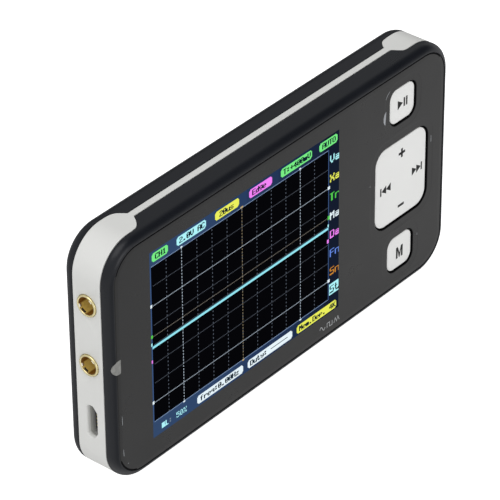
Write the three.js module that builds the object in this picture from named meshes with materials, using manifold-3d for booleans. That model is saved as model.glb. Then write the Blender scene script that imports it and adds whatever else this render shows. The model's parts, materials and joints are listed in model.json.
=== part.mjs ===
// Pocket digital storage oscilloscope, a hand-held slab with a 2.8 inch colour display.
// Units are millimetres. +X runs along the case towards the power switch, -Y faces the user
// through the display, +Z is the top of the picture. The origin is the centre of the flat back.
// "Front" is -Y, "rear" is +Y, "left" is -X and "right" is +X.
import * as THREE from "three";
import { mergeVertices } from "three/addons/utils/BufferGeometryUtils.js";
import Module from "manifold-3d";

const wasm = await Module();
wasm.setup();

// ---- driving dimensions -------------------------------------------------------------------
const LENGTH = 104.5; // overall, along X
const HEIGHT = 55.2; // overall, along Z
const THICK = 12.1; // overall, along Y
const CORNER_R = 8.2; // plan corner radius
const FRONT_EDGE_R = 1.9; // rolled edge of the front shell
const REAR_EDGE_R = 2.7; // rolled edge of the rear cover
const WALL = 1.5; // side wall of both shells
const FRAME_IN = 2.6; // inner face of the middle frame, measured in from the outline
const SEAM = 0.12; // gap between the shells and the middle frame

// planes along Y
const LENS_Y = -12.02; // outer face of the lens, just under the rim
const LENS_T = 0.65;
const WEB_Y = -11.25; // front shell ledge that the lens is bonded to
const WEB_IN_Y = -10.0; // inner face of that ledge
const PCB_FRONT_Y = -7.0; // display side of the main board
const PCB_REAR_Y = -5.8; // battery side of the main board
const BACK_IN_Y = -1.3; // inner face of the rear cover
const SEAT_Y = PCB_FRONT_Y - 0.02; // foot of the small parts on the display side

// lens: it follows the outline, a groove's width inside the rim, and its edge falls away softly
const GROOVE = 1.5; // centre of the groove, measured in from the outline
const GROOVE_W = 0.14;
const LENS_EDGE = { width: 1.0, fall: 0.22, steps: 2 };

// keys, sized along X and Z
const KEY_X = 36.93;
const PLAY_Z = 18.07;
const NAV_Z = -0.05;
const MODE_Z = -18.05;
const PLAIN_KEY = { width: 7.65, height: 7.8, radius: 2.05 };
const NAV_KEY = { width: 16.4, height: 18.7, radius: 3.1 };
const KEY_TOP_Y = -11.72; // key tops sit a little below the lens
const KEY_GAP = 0.42;

// ports on the left end, knob on the right end
const JACK_Y = (PCB_FRONT_Y + PCB_REAR_Y) / 2; // the sockets straddle the board
const JACKS = { input: 14.05, output: 0.25 }; // name: z
const USB_Y = -6.6;
const USB_Z = -13.2;
const KNOB_Y = -6.2;
const KNOB_REST_Z = -1.0;

const SCREW_X = 46.0;
const SCREW_Z = 20.6;
const CORNERS = {
  top_left: [-SCREW_X, SCREW_Z],
  top_right: [SCREW_X, SCREW_Z],
  bottom_right: [SCREW_X, -SCREW_Z],
  bottom_left: [-SCREW_X, -SCREW_Z],
};

// ---- spans and outlines -------------------------------------------------------------------
// A span is [from, to] along one axis. Cutting tools run out to OUT, clear of the case.
const OUT = 60;
const ALL = [-OUT, OUT];
const LEFT_END = [-OUT, -40];
const RIGHT_END = [40, OUT];
const around = (centre, half) => [centre - half, centre + half];

const vectors = (rows) => rows.map(([x, y]) => new THREE.Vector2(x, y));
const polygon = (rows) => new THREE.Shape(vectors(rows));
const rect = ([x0, x1], [y0, y1]) => polygon([[x0, y0], [x1, y0], [x1, y1], [x0, y1]]);

function roundRect(width, height, radius, centreX = 0, centreY = 0) {
  const shape = new THREE.Shape();
  const x = width / 2 - radius;
  const y = height / 2 - radius;
  [[x, y], [-x, y], [-x, -y], [x, -y]].forEach(([dx, dy], i) => {
    const start = (i * Math.PI) / 2;
    shape.absarc(centreX + dx, centreY + dy, radius, start, start + Math.PI / 2);
  });
  return shape;
}
function circle(radius, x = 0, y = 0) {
  const shape = new THREE.Shape();
  shape.absarc(x, y, radius, 0, 2 * Math.PI);
  return shape;
}
function withHoles(shape, ...holes) {
  shape.holes.push(...holes);
  return shape;
}
// The case outline, drawn in by an inset.
const plan = (inset = 0) =>
  roundRect(LENGTH - 2 * inset, HEIGHT - 2 * inset, CORNER_R - inset);

// ---- solid helpers ------------------------------------------------------------------------
function solid(source) {
  let geometry = source.index ? source.toNonIndexed() : source.clone();
  for (const name of Object.keys(geometry.attributes)) {
    if (name !== "position") geometry.deleteAttribute(name);
  }
  geometry = mergeVertices(geometry, 1e-4);
  return new wasm.Manifold(new wasm.Mesh({
    numProp: 3,
    vertProperties: new Float32Array(geometry.attributes.position.array),
    triVerts: new Uint32Array(geometry.index.array),
  }));
}
function geometryOf(body) {
  const { vertProperties, triVerts } = body.getMesh();
  const geometry = new THREE.BufferGeometry();
  geometry.setAttribute("position", new THREE.Float32BufferAttribute(vertProperties, 3));
  geometry.setIndex(new THREE.Uint32BufferAttribute(triVerts, 1));
  geometry.computeVertexNormals();
  return geometry;
}
const join = (...parts) => parts.reduce((a, b) => a.add(b));
const cut = (body, ...tools) => tools.reduce((a, b) => a.subtract(b), body);

// The shape drawn in (x, z), filling a span of y. A bevel eases both ends: `width` is how far
// it comes in from the outline, `fall` how far it reaches along Y.
const TO_Y = new THREE.Matrix4().makeRotationX(Math.PI / 2);
function prismY(shape, [y0, y1], seg = 5, { width = 0, fall = width, steps = 2 } = {}) {
  const geometry = new THREE.ExtrudeGeometry(shape, {
    depth: y1 - y0 - 2 * fall,
    curveSegments: seg,
    bevelEnabled: width > 0,
    bevelThickness: fall,
    bevelSize: width,
    bevelOffset: -width,
    bevelSegments: steps,
  });
  return solid(geometry.applyMatrix4(TO_Y).translate(0, y1 - fall, 0));
}
function plainExtrusion(shape, [from, to], curveSegments) {
  return new THREE.ExtrudeGeometry(shape, {
    depth: to - from, curveSegments, bevelEnabled: false,
  }).translate(0, 0, from);
}
// The shape drawn in (x, y), filling a span of z.
const prismZ = (shape, zSpan, seg = 5) => solid(plainExtrusion(shape, zSpan, seg));
// The shape drawn in (y, z), filling a span of x.
const TO_X = new THREE.Matrix4().makeBasis(
  new THREE.Vector3(0, 1, 0), new THREE.Vector3(0, 0, 1), new THREE.Vector3(1, 0, 0));
const prismX = (shape, xSpan, seg = 5) =>
  solid(plainExtrusion(shape, xSpan, seg).applyMatrix4(TO_X));

function box([x0, x1], [y0, y1], [z0, z1]) {
  const geometry = new THREE.BoxGeometry(x1 - x0, y1 - y0, z1 - z0);
  return solid(geometry.translate((x0 + x1) / 2, (y0 + y1) / 2, (z0 + z1) / 2));
}
// Everything between two planes across Y.
const slab = (ySpan) => box(ALL, ySpan, ALL);

function rodY(radius, [y0, y1], sides, x = 0, z = 0) {
  const geometry = new THREE.CylinderGeometry(radius, radius, y1 - y0, sides);
  return solid(geometry.translate(x, (y0 + y1) / 2, z));
}
function rodX(radius, [x0, x1], sides, y = 0, z = 0) {
  const geometry = new THREE.CylinderGeometry(radius, radius, x1 - x0, sides);
  return solid(geometry.rotateZ(-Math.PI / 2).translate((x0 + x1) / 2, y, z));
}
const cornerRods = (radius, ySpan, sides) =>
  Object.values(CORNERS).map(([x, z]) => rodY(radius, ySpan, sides, x, z));

// ---- materials and scene helpers ----------------------------------------------------------
const MATERIALS = {
  shell_black: { color: 0x26292f, roughness: 0.42 },
  frame_grey: { color: 0xcfd0cd, roughness: 0.45 },
  lens: { color: 0x1c1d20, roughness: 0.18, transparent: true, opacity: 0.35 },
  mask_black: { color: 0x101114, roughness: 0.6 },
  display_glass: { color: 0x05070c, roughness: 0.2 },
  tray_steel: { color: 0xa9adb0, roughness: 0.35, metalness: 0.9 },
  foam: { color: 0x2d2d2d, roughness: 0.95 },
  polyimide: { color: 0x9a5a1c, roughness: 0.4 },
  key_white: { color: 0xe2e2e0, roughness: 0.4 },
  board_green: { color: 0x1f5a35, roughness: 0.45 },
  gold: { color: 0xd4a63a, roughness: 0.25, metalness: 1.0 },
  ptfe: { color: 0xf1efe8, roughness: 0.5 },
  steel: { color: 0xb9bcc0, roughness: 0.3, metalness: 0.95 },
  black_plastic: { color: 0x17181a, roughness: 0.5 },
  battery_foil: { color: 0xb8bcc2, roughness: 0.35, metalness: 0.6 },
  wire_red: { color: 0xb5201d, roughness: 0.5 },
  wire_black: { color: 0x141414, roughness: 0.5 },
  light_guide: { color: 0xb9bcc0, roughness: 0.55 },
  screw_black: { color: 0x2a2b2e, roughness: 0.35, metalness: 0.8 },
  plunger: { color: 0x1b1b1c, roughness: 0.5 },
};
for (const [name, settings] of Object.entries(MATERIALS)) {
  MATERIALS[name] = new THREE.MeshStandardMaterial({ name, ...settings });
}

// Takes a solid, or a geometry that several meshes share.
function mesh(name, form, material, at = [0, 0, 0]) {
  const geometry = form.isBufferGeometry ? form : geometryOf(form);
  const part = new THREE.Mesh(geometry, MATERIALS[material]);
  part.name = name;
  part.position.set(...at);
  return part;
}
function group(name, ...children) {
  const parent = new THREE.Group();
  parent.name = name;
  parent.add(...children);
  return parent;
}

// ---- the outer form -----------------------------------------------------------------------
// One extrusion rolls the front edge, the other the rear edge, and the form is what both hold.
const outerForm = prismY(plan(), [-THICK, OUT], 8, { width: FRONT_EDGE_R, steps: 4 })
  .intersect(prismY(plan(), [-OUT, 0], 8, { width: REAR_EDGE_R, steps: 4 }));

// ---- middle frame -------------------------------------------------------------------------
// The visible band, as spans of y: thin stripe on the long sides, wide band round each end.
const STRIPE = [-6.95, -5.2];
const BAND_LEFT = [-9.9, -2.85];
const BAND_RIGHT = [-9.1, -3.1];
const STRIPE_MID_Y = (STRIPE[0] + STRIPE[1]) / 2;
// how far from the centre, along X, each edge of the stripe starts to widen
const STRIPE_END = { leftFront: 38.85, leftRear: 38.95, rightFront: 39.2, rightRear: 39.05 };
// how the stripe widens into the band: [distance past the stripe's end, share of the widening]
const KNEE = {
  leftFront: [
    [0, 0], [0.15, 0.07], [0.55, 0.27], [0.95, 0.46],
    [1.45, 0.64], [2.05, 0.83], [2.75, 0.95], [4.1, 1],
  ],
  leftRear: [
    [0, 0], [0.25, 0.12], [0.95, 0.5], [1.35, 0.7], [2.05, 0.88], [3.05, 0.98], [4, 1],
  ],
  rightFront: [[0, 0], [0.7, 0.42], [1.3, 0.79], [1.8, 0.95], [2.8, 1]],
  rightRear: [[0, 0], [0.35, 0.26], [0.95, 0.58], [1.65, 0.85], [2.45, 0.96], [4, 1]],
};

// The band seen along Z, a dog-bone drawn in (x, y) and grown all round.
function dogbone(grow) {
  const widen = ([y0, y1]) => [y0 - grow, y1 + grow];
  const [stripeFront, stripeRear] = widen(STRIPE);
  const [leftFront, leftRear] = widen(BAND_LEFT);
  const [rightFront, rightRear] = widen(BAND_RIGHT);
  const knee = (edge, sign, from, to) => KNEE[edge].map(([distance, share]) =>
    [sign * (STRIPE_END[edge] - grow + distance), from + share * (to - from)]);
  return polygon([
    [-OUT, leftFront],
    ...knee("leftFront", -1, stripeFront, leftFront).reverse(),
    ...knee("rightFront", 1, stripeFront, rightFront),
    [OUT, rightFront],
    [OUT, rightRear],
    ...knee("rightRear", 1, stripeRear, rightRear).reverse(),
    ...knee("leftRear", -1, stripeRear, leftRear),
    [-OUT, leftRear],
  ]);
}
const bandGap = prismZ(dogbone(SEAM), ALL);

// Micro socket outline in (y, z): long chamfers on the front corners, short ones on the rear.
function usbShape(width, depth, chamfer) {
  const y = depth / 2;
  const z = width / 2;
  const long = chamfer * 1.25; // chamfer measured along Z
  const short = 0.35;
  return polygon([
    [-y, -z + long], [-y, z - long], [-y + chamfer, z], [y - short, z],
    [y, z - short], [y, -z + short], [y - short, -z], [-y + chamfer, -z],
  ].map(([dy, dz]) => [USB_Y + dy, USB_Z + dz]));
}

const innerRing = prismY(withHoles(plan(WALL + SEAM), plan(FRAME_IN)), [-9.6, -2.4], 6);
const bandRing = cut(
  outerForm.intersect(prismZ(dogbone(0), ALL)),
  prismY(plan(FRAME_IN), ALL, 6));
const middleFrame = cut(
  join(innerRing, bandRing),
  ...Object.values(JACKS).map((z) => rodX(2.45, LEFT_END, 24, JACK_Y, z)),
  prismX(usbShape(7.5, 2.45, 1.0), LEFT_END), // socket mouth
  prismX(usbShape(8.1, 3.1, 1.1), [-50.75, LEFT_END[1]]), // room for the socket shell
  prismX(roundRect(2.3, 5.4, 0.6, KNOB_Y, 0), RIGHT_END, 3), // knob slot
);

// ---- openings through the front -----------------------------------------------------------
const keyHole = ({ width, height, radius }, z, gap) =>
  roundRect(width + 2 * gap, height + 2 * gap, radius + gap, KEY_X, z);
const keyHoles = (gap) => [
  keyHole(PLAIN_KEY, PLAY_Z, gap),
  keyHole(PLAIN_KEY, MODE_Z, gap),
  keyHole(NAV_KEY, NAV_Z, gap),
];
const keyCutters = keyHoles(KEY_GAP).map((hole) => prismY(hole, ALL, 4));

// The light guide's face in the left rim: round on the left, straight on the right.
// Growing it moves the straight side and widens the round one.
const GUIDE_Z = 1.0;
const GUIDE_GAP = 0.07;
function guideShape(grow) {
  const shape = new THREE.Shape();
  const radius = 1.58 + grow;
  const straightX = -49.15 + grow;
  shape.moveTo(straightX, GUIDE_Z - radius);
  shape.lineTo(straightX, GUIDE_Z + radius);
  shape.absarc(-50.12, GUIDE_Z, radius, Math.PI / 2, 1.5 * Math.PI);
  shape.closePath();
  return shape;
}

// ---- front shell --------------------------------------------------------------------------
const GLASS = { width: 61.2, height: 46.0, x: -11.6, z: 0.2, gap: 0.25 };
const glassOpening = roundRect(
  GLASS.width + 2 * GLASS.gap, GLASS.height + 2 * GLASS.gap, 0.8, GLASS.x, GLASS.z);
const hollowFront = cut(
  outerForm,
  bandGap,
  slab([STRIPE_MID_Y, OUT]), // everything behind the stripe
  prismY(plan(WALL), [WEB_IN_Y, OUT], 6), // the hollow behind the ledge
  prismY(plan(GROOVE - GROOVE_W / 2), [-OUT, WEB_Y], 6), // the lens recess
  prismY(glassOpening, ALL, 2),
  ...keyCutters,
  prismY(guideShape(GUIDE_GAP), [-OUT, -10.45], 5),
  box([-51.0, -44.2], [-11.4, -9.0], around(GUIDE_Z, 0.75)), // channel for the guide's arm
);
const frontShell = cut(
  join(hollowFront, ...cornerRods(2.2, [-10.2, PCB_FRONT_Y - 0.05], 16)),
  ...cornerRods(1.05, [-10.5, OUT], 12), // screw pilot holes
);

// ---- rear cover ---------------------------------------------------------------------------
const hollowRear = cut(
  outerForm,
  bandGap,
  slab([-OUT, STRIPE_MID_Y]),
  prismY(plan(WALL), [-OUT, BACK_IN_Y], 6),
);
const rearCover = cut(
  join(hollowRear, ...cornerRods(2.5, [PCB_REAR_Y + 0.05, BACK_IN_Y + 0.3], 16)),
  ...cornerRods(1.2, ALL, 12), // screw shanks
  ...cornerRods(2.05, [-1.5, OUT], 20), // screw heads
);

// ---- lens, mask, light guide --------------------------------------------------------------
// The blank is thicker than the lens, so that trimming it leaves only the front edge eased.
const lensBlank = prismY(plan(GROOVE + GROOVE_W / 2), [LENS_Y, LENS_Y + 4], 6, LENS_EDGE);
const lens = cut(
  lensBlank.intersect(slab([-OUT, LENS_Y + LENS_T])),
  ...keyCutters,
  prismY(guideShape(GUIDE_GAP), ALL, 5),
);

// The mask fills the gap between lens and ledge, open over the active area and the keys.
const ACTIVE = { width: 57.6, height: 43.2, x: -11.9, z: 0.15 }; // 2.8 inch, 4:3
const lensMask = prismY(
  withHoles(
    plan(GROOVE + 1.9),
    rect(around(ACTIVE.x, ACTIVE.width / 2), around(ACTIVE.z, ACTIVE.height / 2)),
    ...keyHoles(0.8),
  ),
  [LENS_Y + LENS_T + 0.01, WEB_Y - 0.01], 4);

const guideWidth = around(GUIDE_Z, 0.6);
const lightGuide = join(
  prismY(guideShape(0), [LENS_Y, -10.5], 5).intersect(outerForm),
  box([-50.9, -44.5], [-11.15, -10.6], guideWidth), // arm under the rim
  box([-45.7, -44.5], [-11.0, -7.75], guideWidth), // leg down towards the status light
);

// ---- screws -------------------------------------------------------------------------------
// Pan head with a cross recess, drawn on its own axis, head towards +Y.
const SCREW_PROFILE = [ // [radius, y]
  [0, -9.9], [0.35, -9.9], [0.95, -9.2], [0.95, -1.46],
  [1.8, -1.46], [1.8, -0.75], [1.45, -0.42], [0, -0.35],
];
const crossLong = around(0, 0.95);
const crossShort = around(0, 0.2);
const crossDepth = [-1.05, OUT];
const screwGeometry = geometryOf(cut(
  solid(new THREE.LatheGeometry(vectors(SCREW_PROFILE), 16)),
  box(crossLong, crossDepth, crossShort),
  box(crossShort, crossDepth, crossLong),
));

// ---- display module, front to rear --------------------------------------------------------
const displayGlass = box(
  around(GLASS.x, GLASS.width / 2), [-11.22, -9.97], around(GLASS.z, GLASS.height / 2));

const [trayLeft, trayRight] = [-43.6, 25.2];
const [trayBottom, trayTop] = [-23.7, 24.1];
const trayShape = roundRect(trayRight - trayLeft, trayTop - trayBottom, 0.8,
  (trayLeft + trayRight) / 2, (trayBottom + trayTop) / 2);
const displayTray = cut(
  prismY(trayShape, [-9.93, -7.92], 2),
  box([20.5, 24.4], [-OUT, -9.2], [-21, 20]), // step for the driver ledge
);

const displayFoam = prismY(
  withHoles(rect([-41, 22], [-21.5, 21.9]), rect([-32, 13], [-13.5, 13.9])),
  [-7.88, -7.05]);

function flexShape() { // S bend drawn in (x, y)
  const shape = new THREE.Shape();
  shape.moveTo(25.26, -9.05);
  shape.bezierCurveTo(26.3, -9.1, 25.0, -7.75, 26.5, -7.72);
  shape.lineTo(27.6, -7.72);
  shape.lineTo(27.6, -7.58);
  shape.lineTo(26.5, -7.58);
  shape.bezierCurveTo(24.85, -7.6, 26.1, -8.9, 25.26, -8.9);
  shape.closePath();
  return shape;
}
const displayFlex = prismZ(flexShape(), around(0, 7.6), 6);

// ---- main board ---------------------------------------------------------------------------
const boardShape = withHoles(
  roundRect(97.8, 48.8, 4.8),
  ...Object.values(CORNERS).map(([x, z]) => circle(1.35, x, z)),
);
const mainBoard = cut(
  prismY(boardShape, [PCB_FRONT_Y, PCB_REAR_Y], 4),
  ...Object.values(JACKS).map((z) => box([-OUT, -46.1], ALL, around(z, 3.2))),
  box([-OUT, -45.1], ALL, around(USB_Z, 4.0)),
  box([44.4, OUT], ALL, around(0, 4.4)), // power switch notch
);
const flexSocket = cut(
  box([26.9, 29.0], [-8.05, PCB_FRONT_Y - 0.03], around(0, 8.6)),
  box([26.0, 28.2], [-7.8, -7.5], around(0, 7.8)),
);
const statusLed = box([-45.6, -44.6], [-7.6, SEAT_Y], around(1, 0.4));

// chips on the battery side: [name, size x, size z, thickness, x, z, material]
const CHIPS = [
  ["processor_chip", 7, 7, 1.2, 33, 8, "black_plastic"],
  ["memory_chip", 5, 4, 1.2, 33, -4.5, "black_plastic"],
  ["input_amplifier", 5, 4, 1.2, -37, 12, "black_plastic"],
  ["charger_chip", 3, 3, 0.9, -38, -13, "black_plastic"],
  ["clock_crystal", 3.2, 2.5, 0.8, 40.5, 8, "steel"],
  ["buzzer", 8.5, 8.5, 2.4, 39.8, -9.6, "black_plastic"],
];
const CHIP_SEAT_Y = PCB_REAR_Y + 0.08;
const chips = CHIPS.map(([name, width, height, thickness, x, z, material]) => {
  const shape = roundRect(width, height, 0.25, x, z);
  return mesh(name, prismY(shape, [CHIP_SEAT_Y, CHIP_SEAT_Y + thickness], 1), material);
});

// ---- coaxial sockets ----------------------------------------------------------------------
// Drawn about the socket's own axis, with the mating face towards -X.
const JACK_BLOCK = [-49.4, -46.25]; // span of the square body along X
const contactHole = rodX(0.5, ALL, 10);
function jackShell() {
  const [blockFront, blockTail] = JACK_BLOCK;
  const legs = [-2.3, 2.3].flatMap((z) => [[-1.35, -0.66], [0.66, 1.35]].map((ySpan) =>
    box([blockTail - 0.5, -44.3], ySpan, around(z, 0.4)))); // either side of the board
  return cut(
    join(
      rodX(2.32, [-52.55, blockFront + 0.5], 28),
      box(JACK_BLOCK, around(0, 2.75), around(0, 2.9)),
      ...legs,
    ),
    rodX(1.75, [-OUT, -47.3], 24),
    contactHole,
  );
}
const jackGeometry = geometryOf(jackShell());
const insulatorGeometry = geometryOf(cut(rodX(1.68, [-48.7, -47.4], 20), contactHole));
const contactGeometry = geometryOf(
  cut(rodX(0.42, [-50.9, -46.4], 12), rodX(0.24, [-OUT, -49.2], 8)));
const jacks = Object.entries(JACKS).flatMap(([name, z]) => {
  const at = [0, JACK_Y, z];
  return [
    mesh(`${name}_jack_shell`, jackGeometry, "gold", at),
    mesh(`${name}_jack_insulator`, insulatorGeometry, "ptfe", at),
    mesh(`${name}_jack_contact`, contactGeometry, "gold", at),
  ];
});

// ---- micro socket -------------------------------------------------------------------------
const usbShell = cut(
  prismX(usbShape(7.7, 2.7, 1.0), [-50.62, -45.4]),
  prismX(usbShape(7.1, 2.1, 0.85), [-OUT, -46.0]),
);
const usbTongue = box([-49.7, -46.05], [USB_Y - 0.1, USB_Y + 0.5], around(USB_Z, 2.0));

// ---- power switch -------------------------------------------------------------------------
const switchHousing = cut(
  box([44.6, 48.7], around(KNOB_Y, 1.4), around(0, 4.1)),
  box([46.2, OUT], around(KNOB_Y, 0.8), around(0, 2.7)),
);
// The knob is drawn about its own centre line, with three grooves across its outer end.
const powerKnob = cut(
  join(
    box([46.4, 50.2], around(0, 0.65), around(0, 1.3)),
    box([50.0, 52.65], around(0, 0.95), around(0, 1.4)),
  ),
  ...[-0.85, 0, 0.85].map((z) => box([52.4, OUT], ALL, around(z, 0.16))),
);

// ---- keys, switches and the rocking pad ---------------------------------------------------
// Each is drawn about its own centre in (x, z).
const FLANGE = 0.9; // how far the flange stands out round the key
const PLUNGER_TOP_Y = -8.9;
function keyCap({ width, height, radius }, flangeSpan) {
  const flangeY = flangeSpan[0];
  const shape = roundRect(width, height, radius);
  // trimmed, to lose the bevel at the rear end
  const cap = prismY(shape, [KEY_TOP_Y, flangeY + 0.1], 4, { width: 0.3, steps: 2 })
    .intersect(slab([-OUT, flangeY - 0.4]));
  const neck = prismY(shape, [flangeY - 0.6, flangeY + 0.1], 4);
  const flangeShape = roundRect(width + 2 * FLANGE, height + 2 * FLANGE, radius + FLANGE);
  return join(cap, neck, prismY(flangeShape, flangeSpan, 4));
}
const plainKeyGeometry = geometryOf(join(
  keyCap(PLAIN_KEY, [-9.95, -9.4]),
  rodY(1.0, [-9.7, PLUNGER_TOP_Y - 0.05], 12)));
const navPad = join(keyCap(NAV_KEY, [-9.27, -8.97]), rodY(1.7, [-9.3, -8.87], 14));
const navGimbal = rodY(1.7, [-8.75, -8.25], 16);
const navPost = rodY(1.2, [-8.12, SEAT_Y], 14);

const tactGeometry = geometryOf(cut(
  prismY(roundRect(3.6, 3.6, 0.4), [-8.37, SEAT_Y], 2),
  rodY(1.0, [-OUT, -7.45], 14)));
const plungerGeometry = geometryOf(rodY(0.88, [PLUNGER_TOP_Y, -8.0], 14));

const NAV_ARM_X = 5.4; // lever arms from the pivot to the four switches
const NAV_ARM_Z = 6.3;
const playAt = [KEY_X, 0, PLAY_Z];
const modeAt = [KEY_X, 0, MODE_Z];
const navAt = [KEY_X, 0, NAV_Z];
const SWITCHES = Object.entries({
  play: playAt,
  mode: modeAt,
  nav_up: [KEY_X, 0, NAV_Z + NAV_ARM_Z],
  nav_down: [KEY_X, 0, NAV_Z - NAV_ARM_Z],
  nav_left: [KEY_X - NAV_ARM_X, 0, NAV_Z],
  nav_right: [KEY_X + NAV_ARM_X, 0, NAV_Z],
});

// ---- battery ------------------------------------------------------------------------------
const battery = prismZ(roundRect(50, 3.8, 1.2, -4, -3.45), around(0, 17), 3);
const batteryPad = box([-24, 16], [-5.76, -5.4], around(0, 13));
const batterySocket = cut(
  box([25.0, 29.0], [PCB_REAR_Y + 0.03, -3.3], [-16.6, -11.4]),
  box([24, 27.5], [-4.9, -3.9], [-15.8, -12.2]),
);
// A lead from the battery's right end to its socket.
function wire(batteryZ, socketZ) {
  const path = new THREE.CatmullRomCurve3([
    new THREE.Vector3(21.1, -3.4, batteryZ),
    new THREE.Vector3(22.6, -3.3, batteryZ - 0.2),
    new THREE.Vector3(24.4, -4.2, socketZ + 0.2),
    new THREE.Vector3(26.8, -4.4, socketZ),
  ]);
  return solid(new THREE.ExtrudeGeometry(circle(0.4), {
    steps: 8, extrudePath: path, curveSegments: 4, bevelEnabled: false,
  }));
}

// ---- scene graph --------------------------------------------------------------------------
const oscilloscope = group("pocket_oscilloscope",
  group("case",
    mesh("rear_cover", rearCover, "shell_black"),
    mesh("front_shell", frontShell, "shell_black"),
    mesh("middle_frame", middleFrame, "frame_grey"),
    mesh("front_lens", lens, "lens"),
    mesh("lens_mask", lensMask, "mask_black"),
    mesh("light_guide", lightGuide, "light_guide"),
    ...Object.entries(CORNERS).map(([name, [x, z]]) =>
      mesh(`screw_${name}`, screwGeometry, "screw_black", [x, 0, z])),
  ),
  group("display",
    mesh("display_glass", displayGlass, "display_glass"),
    mesh("display_tray", displayTray, "tray_steel"),
    mesh("display_foam", displayFoam, "foam"),
    mesh("display_flex", displayFlex, "polyimide"),
  ),
  group("board",
    mesh("main_board", mainBoard, "board_green"),
    mesh("flex_socket", flexSocket, "ptfe"),
    ...jacks,
    mesh("usb_shell", usbShell, "steel"),
    mesh("usb_tongue", usbTongue, "black_plastic"),
    mesh("power_switch_housing", switchHousing, "steel"),
    mesh("status_led", statusLed, "ptfe"),
    ...chips,
    mesh("nav_pivot_post", navPost, "steel", navAt),
    ...SWITCHES.map(([name, at]) => mesh(`${name}_switch`, tactGeometry, "steel", at)),
  ),
  group("power",
    mesh("battery", battery, "battery_foil"),
    mesh("battery_pad", batteryPad, "foam"),
    mesh("battery_socket", batterySocket, "ptfe"),
    mesh("battery_wire_red", wire(-13.2, -13.1), "wire_red"),
    mesh("battery_wire_black", wire(-14.9, -14.9), "wire_black"),
  ),
  group("controls",
    mesh("play_key", plainKeyGeometry, "key_white", playAt),
    mesh("mode_key", plainKeyGeometry, "key_white", modeAt),
    mesh("nav_pad", navPad, "key_white", navAt),
    mesh("nav_gimbal", navGimbal, "steel", navAt),
    ...SWITCHES.map(([name, at]) => mesh(`${name}_plunger`, plungerGeometry, "plunger", at)),
    mesh("power_knob", powerKnob, "key_white", [0, KNOB_Y, KNOB_REST_Z]),
  ),
);

export default oscilloscope;
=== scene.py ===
"""Pocket oscilloscope: the looks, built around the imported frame.

Lengths are in millimetres. +X runs along the case from the display to the keys, -Y comes out
of the display and +Z points to the top of its picture. The case is centred on X and Z, with its
rear face at y = 0. Left and right are as seen from the front. Meshes are scaled to metres when
they are made.
"""

import json
import math

import bmesh
import bpy
import numpy as np
from mathutils import Matrix, Vector
from mathutils.geometry import tessellate_polygon


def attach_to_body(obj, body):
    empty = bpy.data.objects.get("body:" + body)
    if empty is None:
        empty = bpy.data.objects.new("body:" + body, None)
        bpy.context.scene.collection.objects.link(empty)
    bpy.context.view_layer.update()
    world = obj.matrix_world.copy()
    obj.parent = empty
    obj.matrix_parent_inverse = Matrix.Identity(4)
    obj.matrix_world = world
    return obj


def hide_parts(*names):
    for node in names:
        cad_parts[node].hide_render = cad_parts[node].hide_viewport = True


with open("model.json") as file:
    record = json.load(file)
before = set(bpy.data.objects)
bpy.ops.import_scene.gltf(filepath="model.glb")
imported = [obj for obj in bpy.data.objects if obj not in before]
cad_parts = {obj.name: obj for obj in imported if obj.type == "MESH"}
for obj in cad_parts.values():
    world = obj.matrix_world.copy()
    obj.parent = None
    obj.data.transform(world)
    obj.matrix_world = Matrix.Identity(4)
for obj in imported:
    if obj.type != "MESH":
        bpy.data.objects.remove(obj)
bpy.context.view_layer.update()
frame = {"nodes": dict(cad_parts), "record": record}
MM = 0.001

# ------------------------------------------------------------------ sizes
LENGTH, HEIGHT, THICK = 104.5, 55.2, 12.1
CORNER = 8.2  # radius of the outline's corners
CORNER_X, CORNER_Z = LENGTH / 2 - CORNER, HEIGHT / 2 - CORNER  # centres of the corner arcs
CORNER_STEPS = 16
FRONT_ROLL, REAR_ROLL = 1.9, 2.7  # radii of the rolled edges
WALL = 1.5
GROOVE, GROOVE_WIDTH = 1.5, 0.14  # groove round the lens: its inset from the outline
LENS_FRONT, LENS_THICK = -12.02, 0.65
LENS_BACK = LENS_FRONT + LENS_THICK
LENS_INSET = GROOVE + GROOVE_WIDTH / 2
DISH = 0.015  # depth of the dished surrounds of the keys
WEB_FRONT, WEB_BACK = -11.25, -10.0  # the front shell's wall behind the lens
SEAM = 0.12
FORWARD, BACKWARD = -1, 1  # signs along Y

# Edges of the pale middle frame: y along the long sides (stripe) and at the two ends, the
# distance from the middle where each widening starts, and the widening itself as
# (distance past the start, share of the way from stripe to end).
FRAME_EDGES = {
    "front": {
        "stripe": -6.82, "left": -9.9, "right": -9.1, "left_start": 38.85, "right_start": 39.2,
        "left_knee": [(0, 0), (0.15, 0.07), (0.55, 0.27), (0.95, 0.46), (1.45, 0.64),
                      (2.05, 0.83), (2.75, 0.95), (4.1, 1)],
        "right_knee": [(0, 0), (0.7, 0.42), (1.3, 0.79), (1.8, 0.95), (2.8, 1)],
    },
    "rear": {
        "stripe": -5.2, "left": -2.85, "right": -3.1, "left_start": 38.95, "right_start": 39.05,
        "left_knee": [(0, 0), (0.25, 0.12), (0.95, 0.5), (1.35, 0.7), (2.05, 0.88),
                      (3.05, 0.98), (4, 1)],
        "right_knee": [(0, 0), (0.35, 0.26), (0.95, 0.58), (1.65, 0.85), (2.45, 0.96), (4, 1)],
    },
}
# Outward bulge of the lower long side: (x, bulge)
BOW = [(-51.0, 0.0), (-47.0, 0.10), (-43.0, 0.19), (-38.0, 0.22), (-10.0, 0.23),
       (10.0, 0.21), (27.0, 0.15), (42.0, 0.02), (46.0, 0.0)]

KEY_X = 36.96
KEY_TOP = -11.72
KEY_CROWN = 0.05  # rise of a key's middle
KEY_GAP = 0.38
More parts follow.
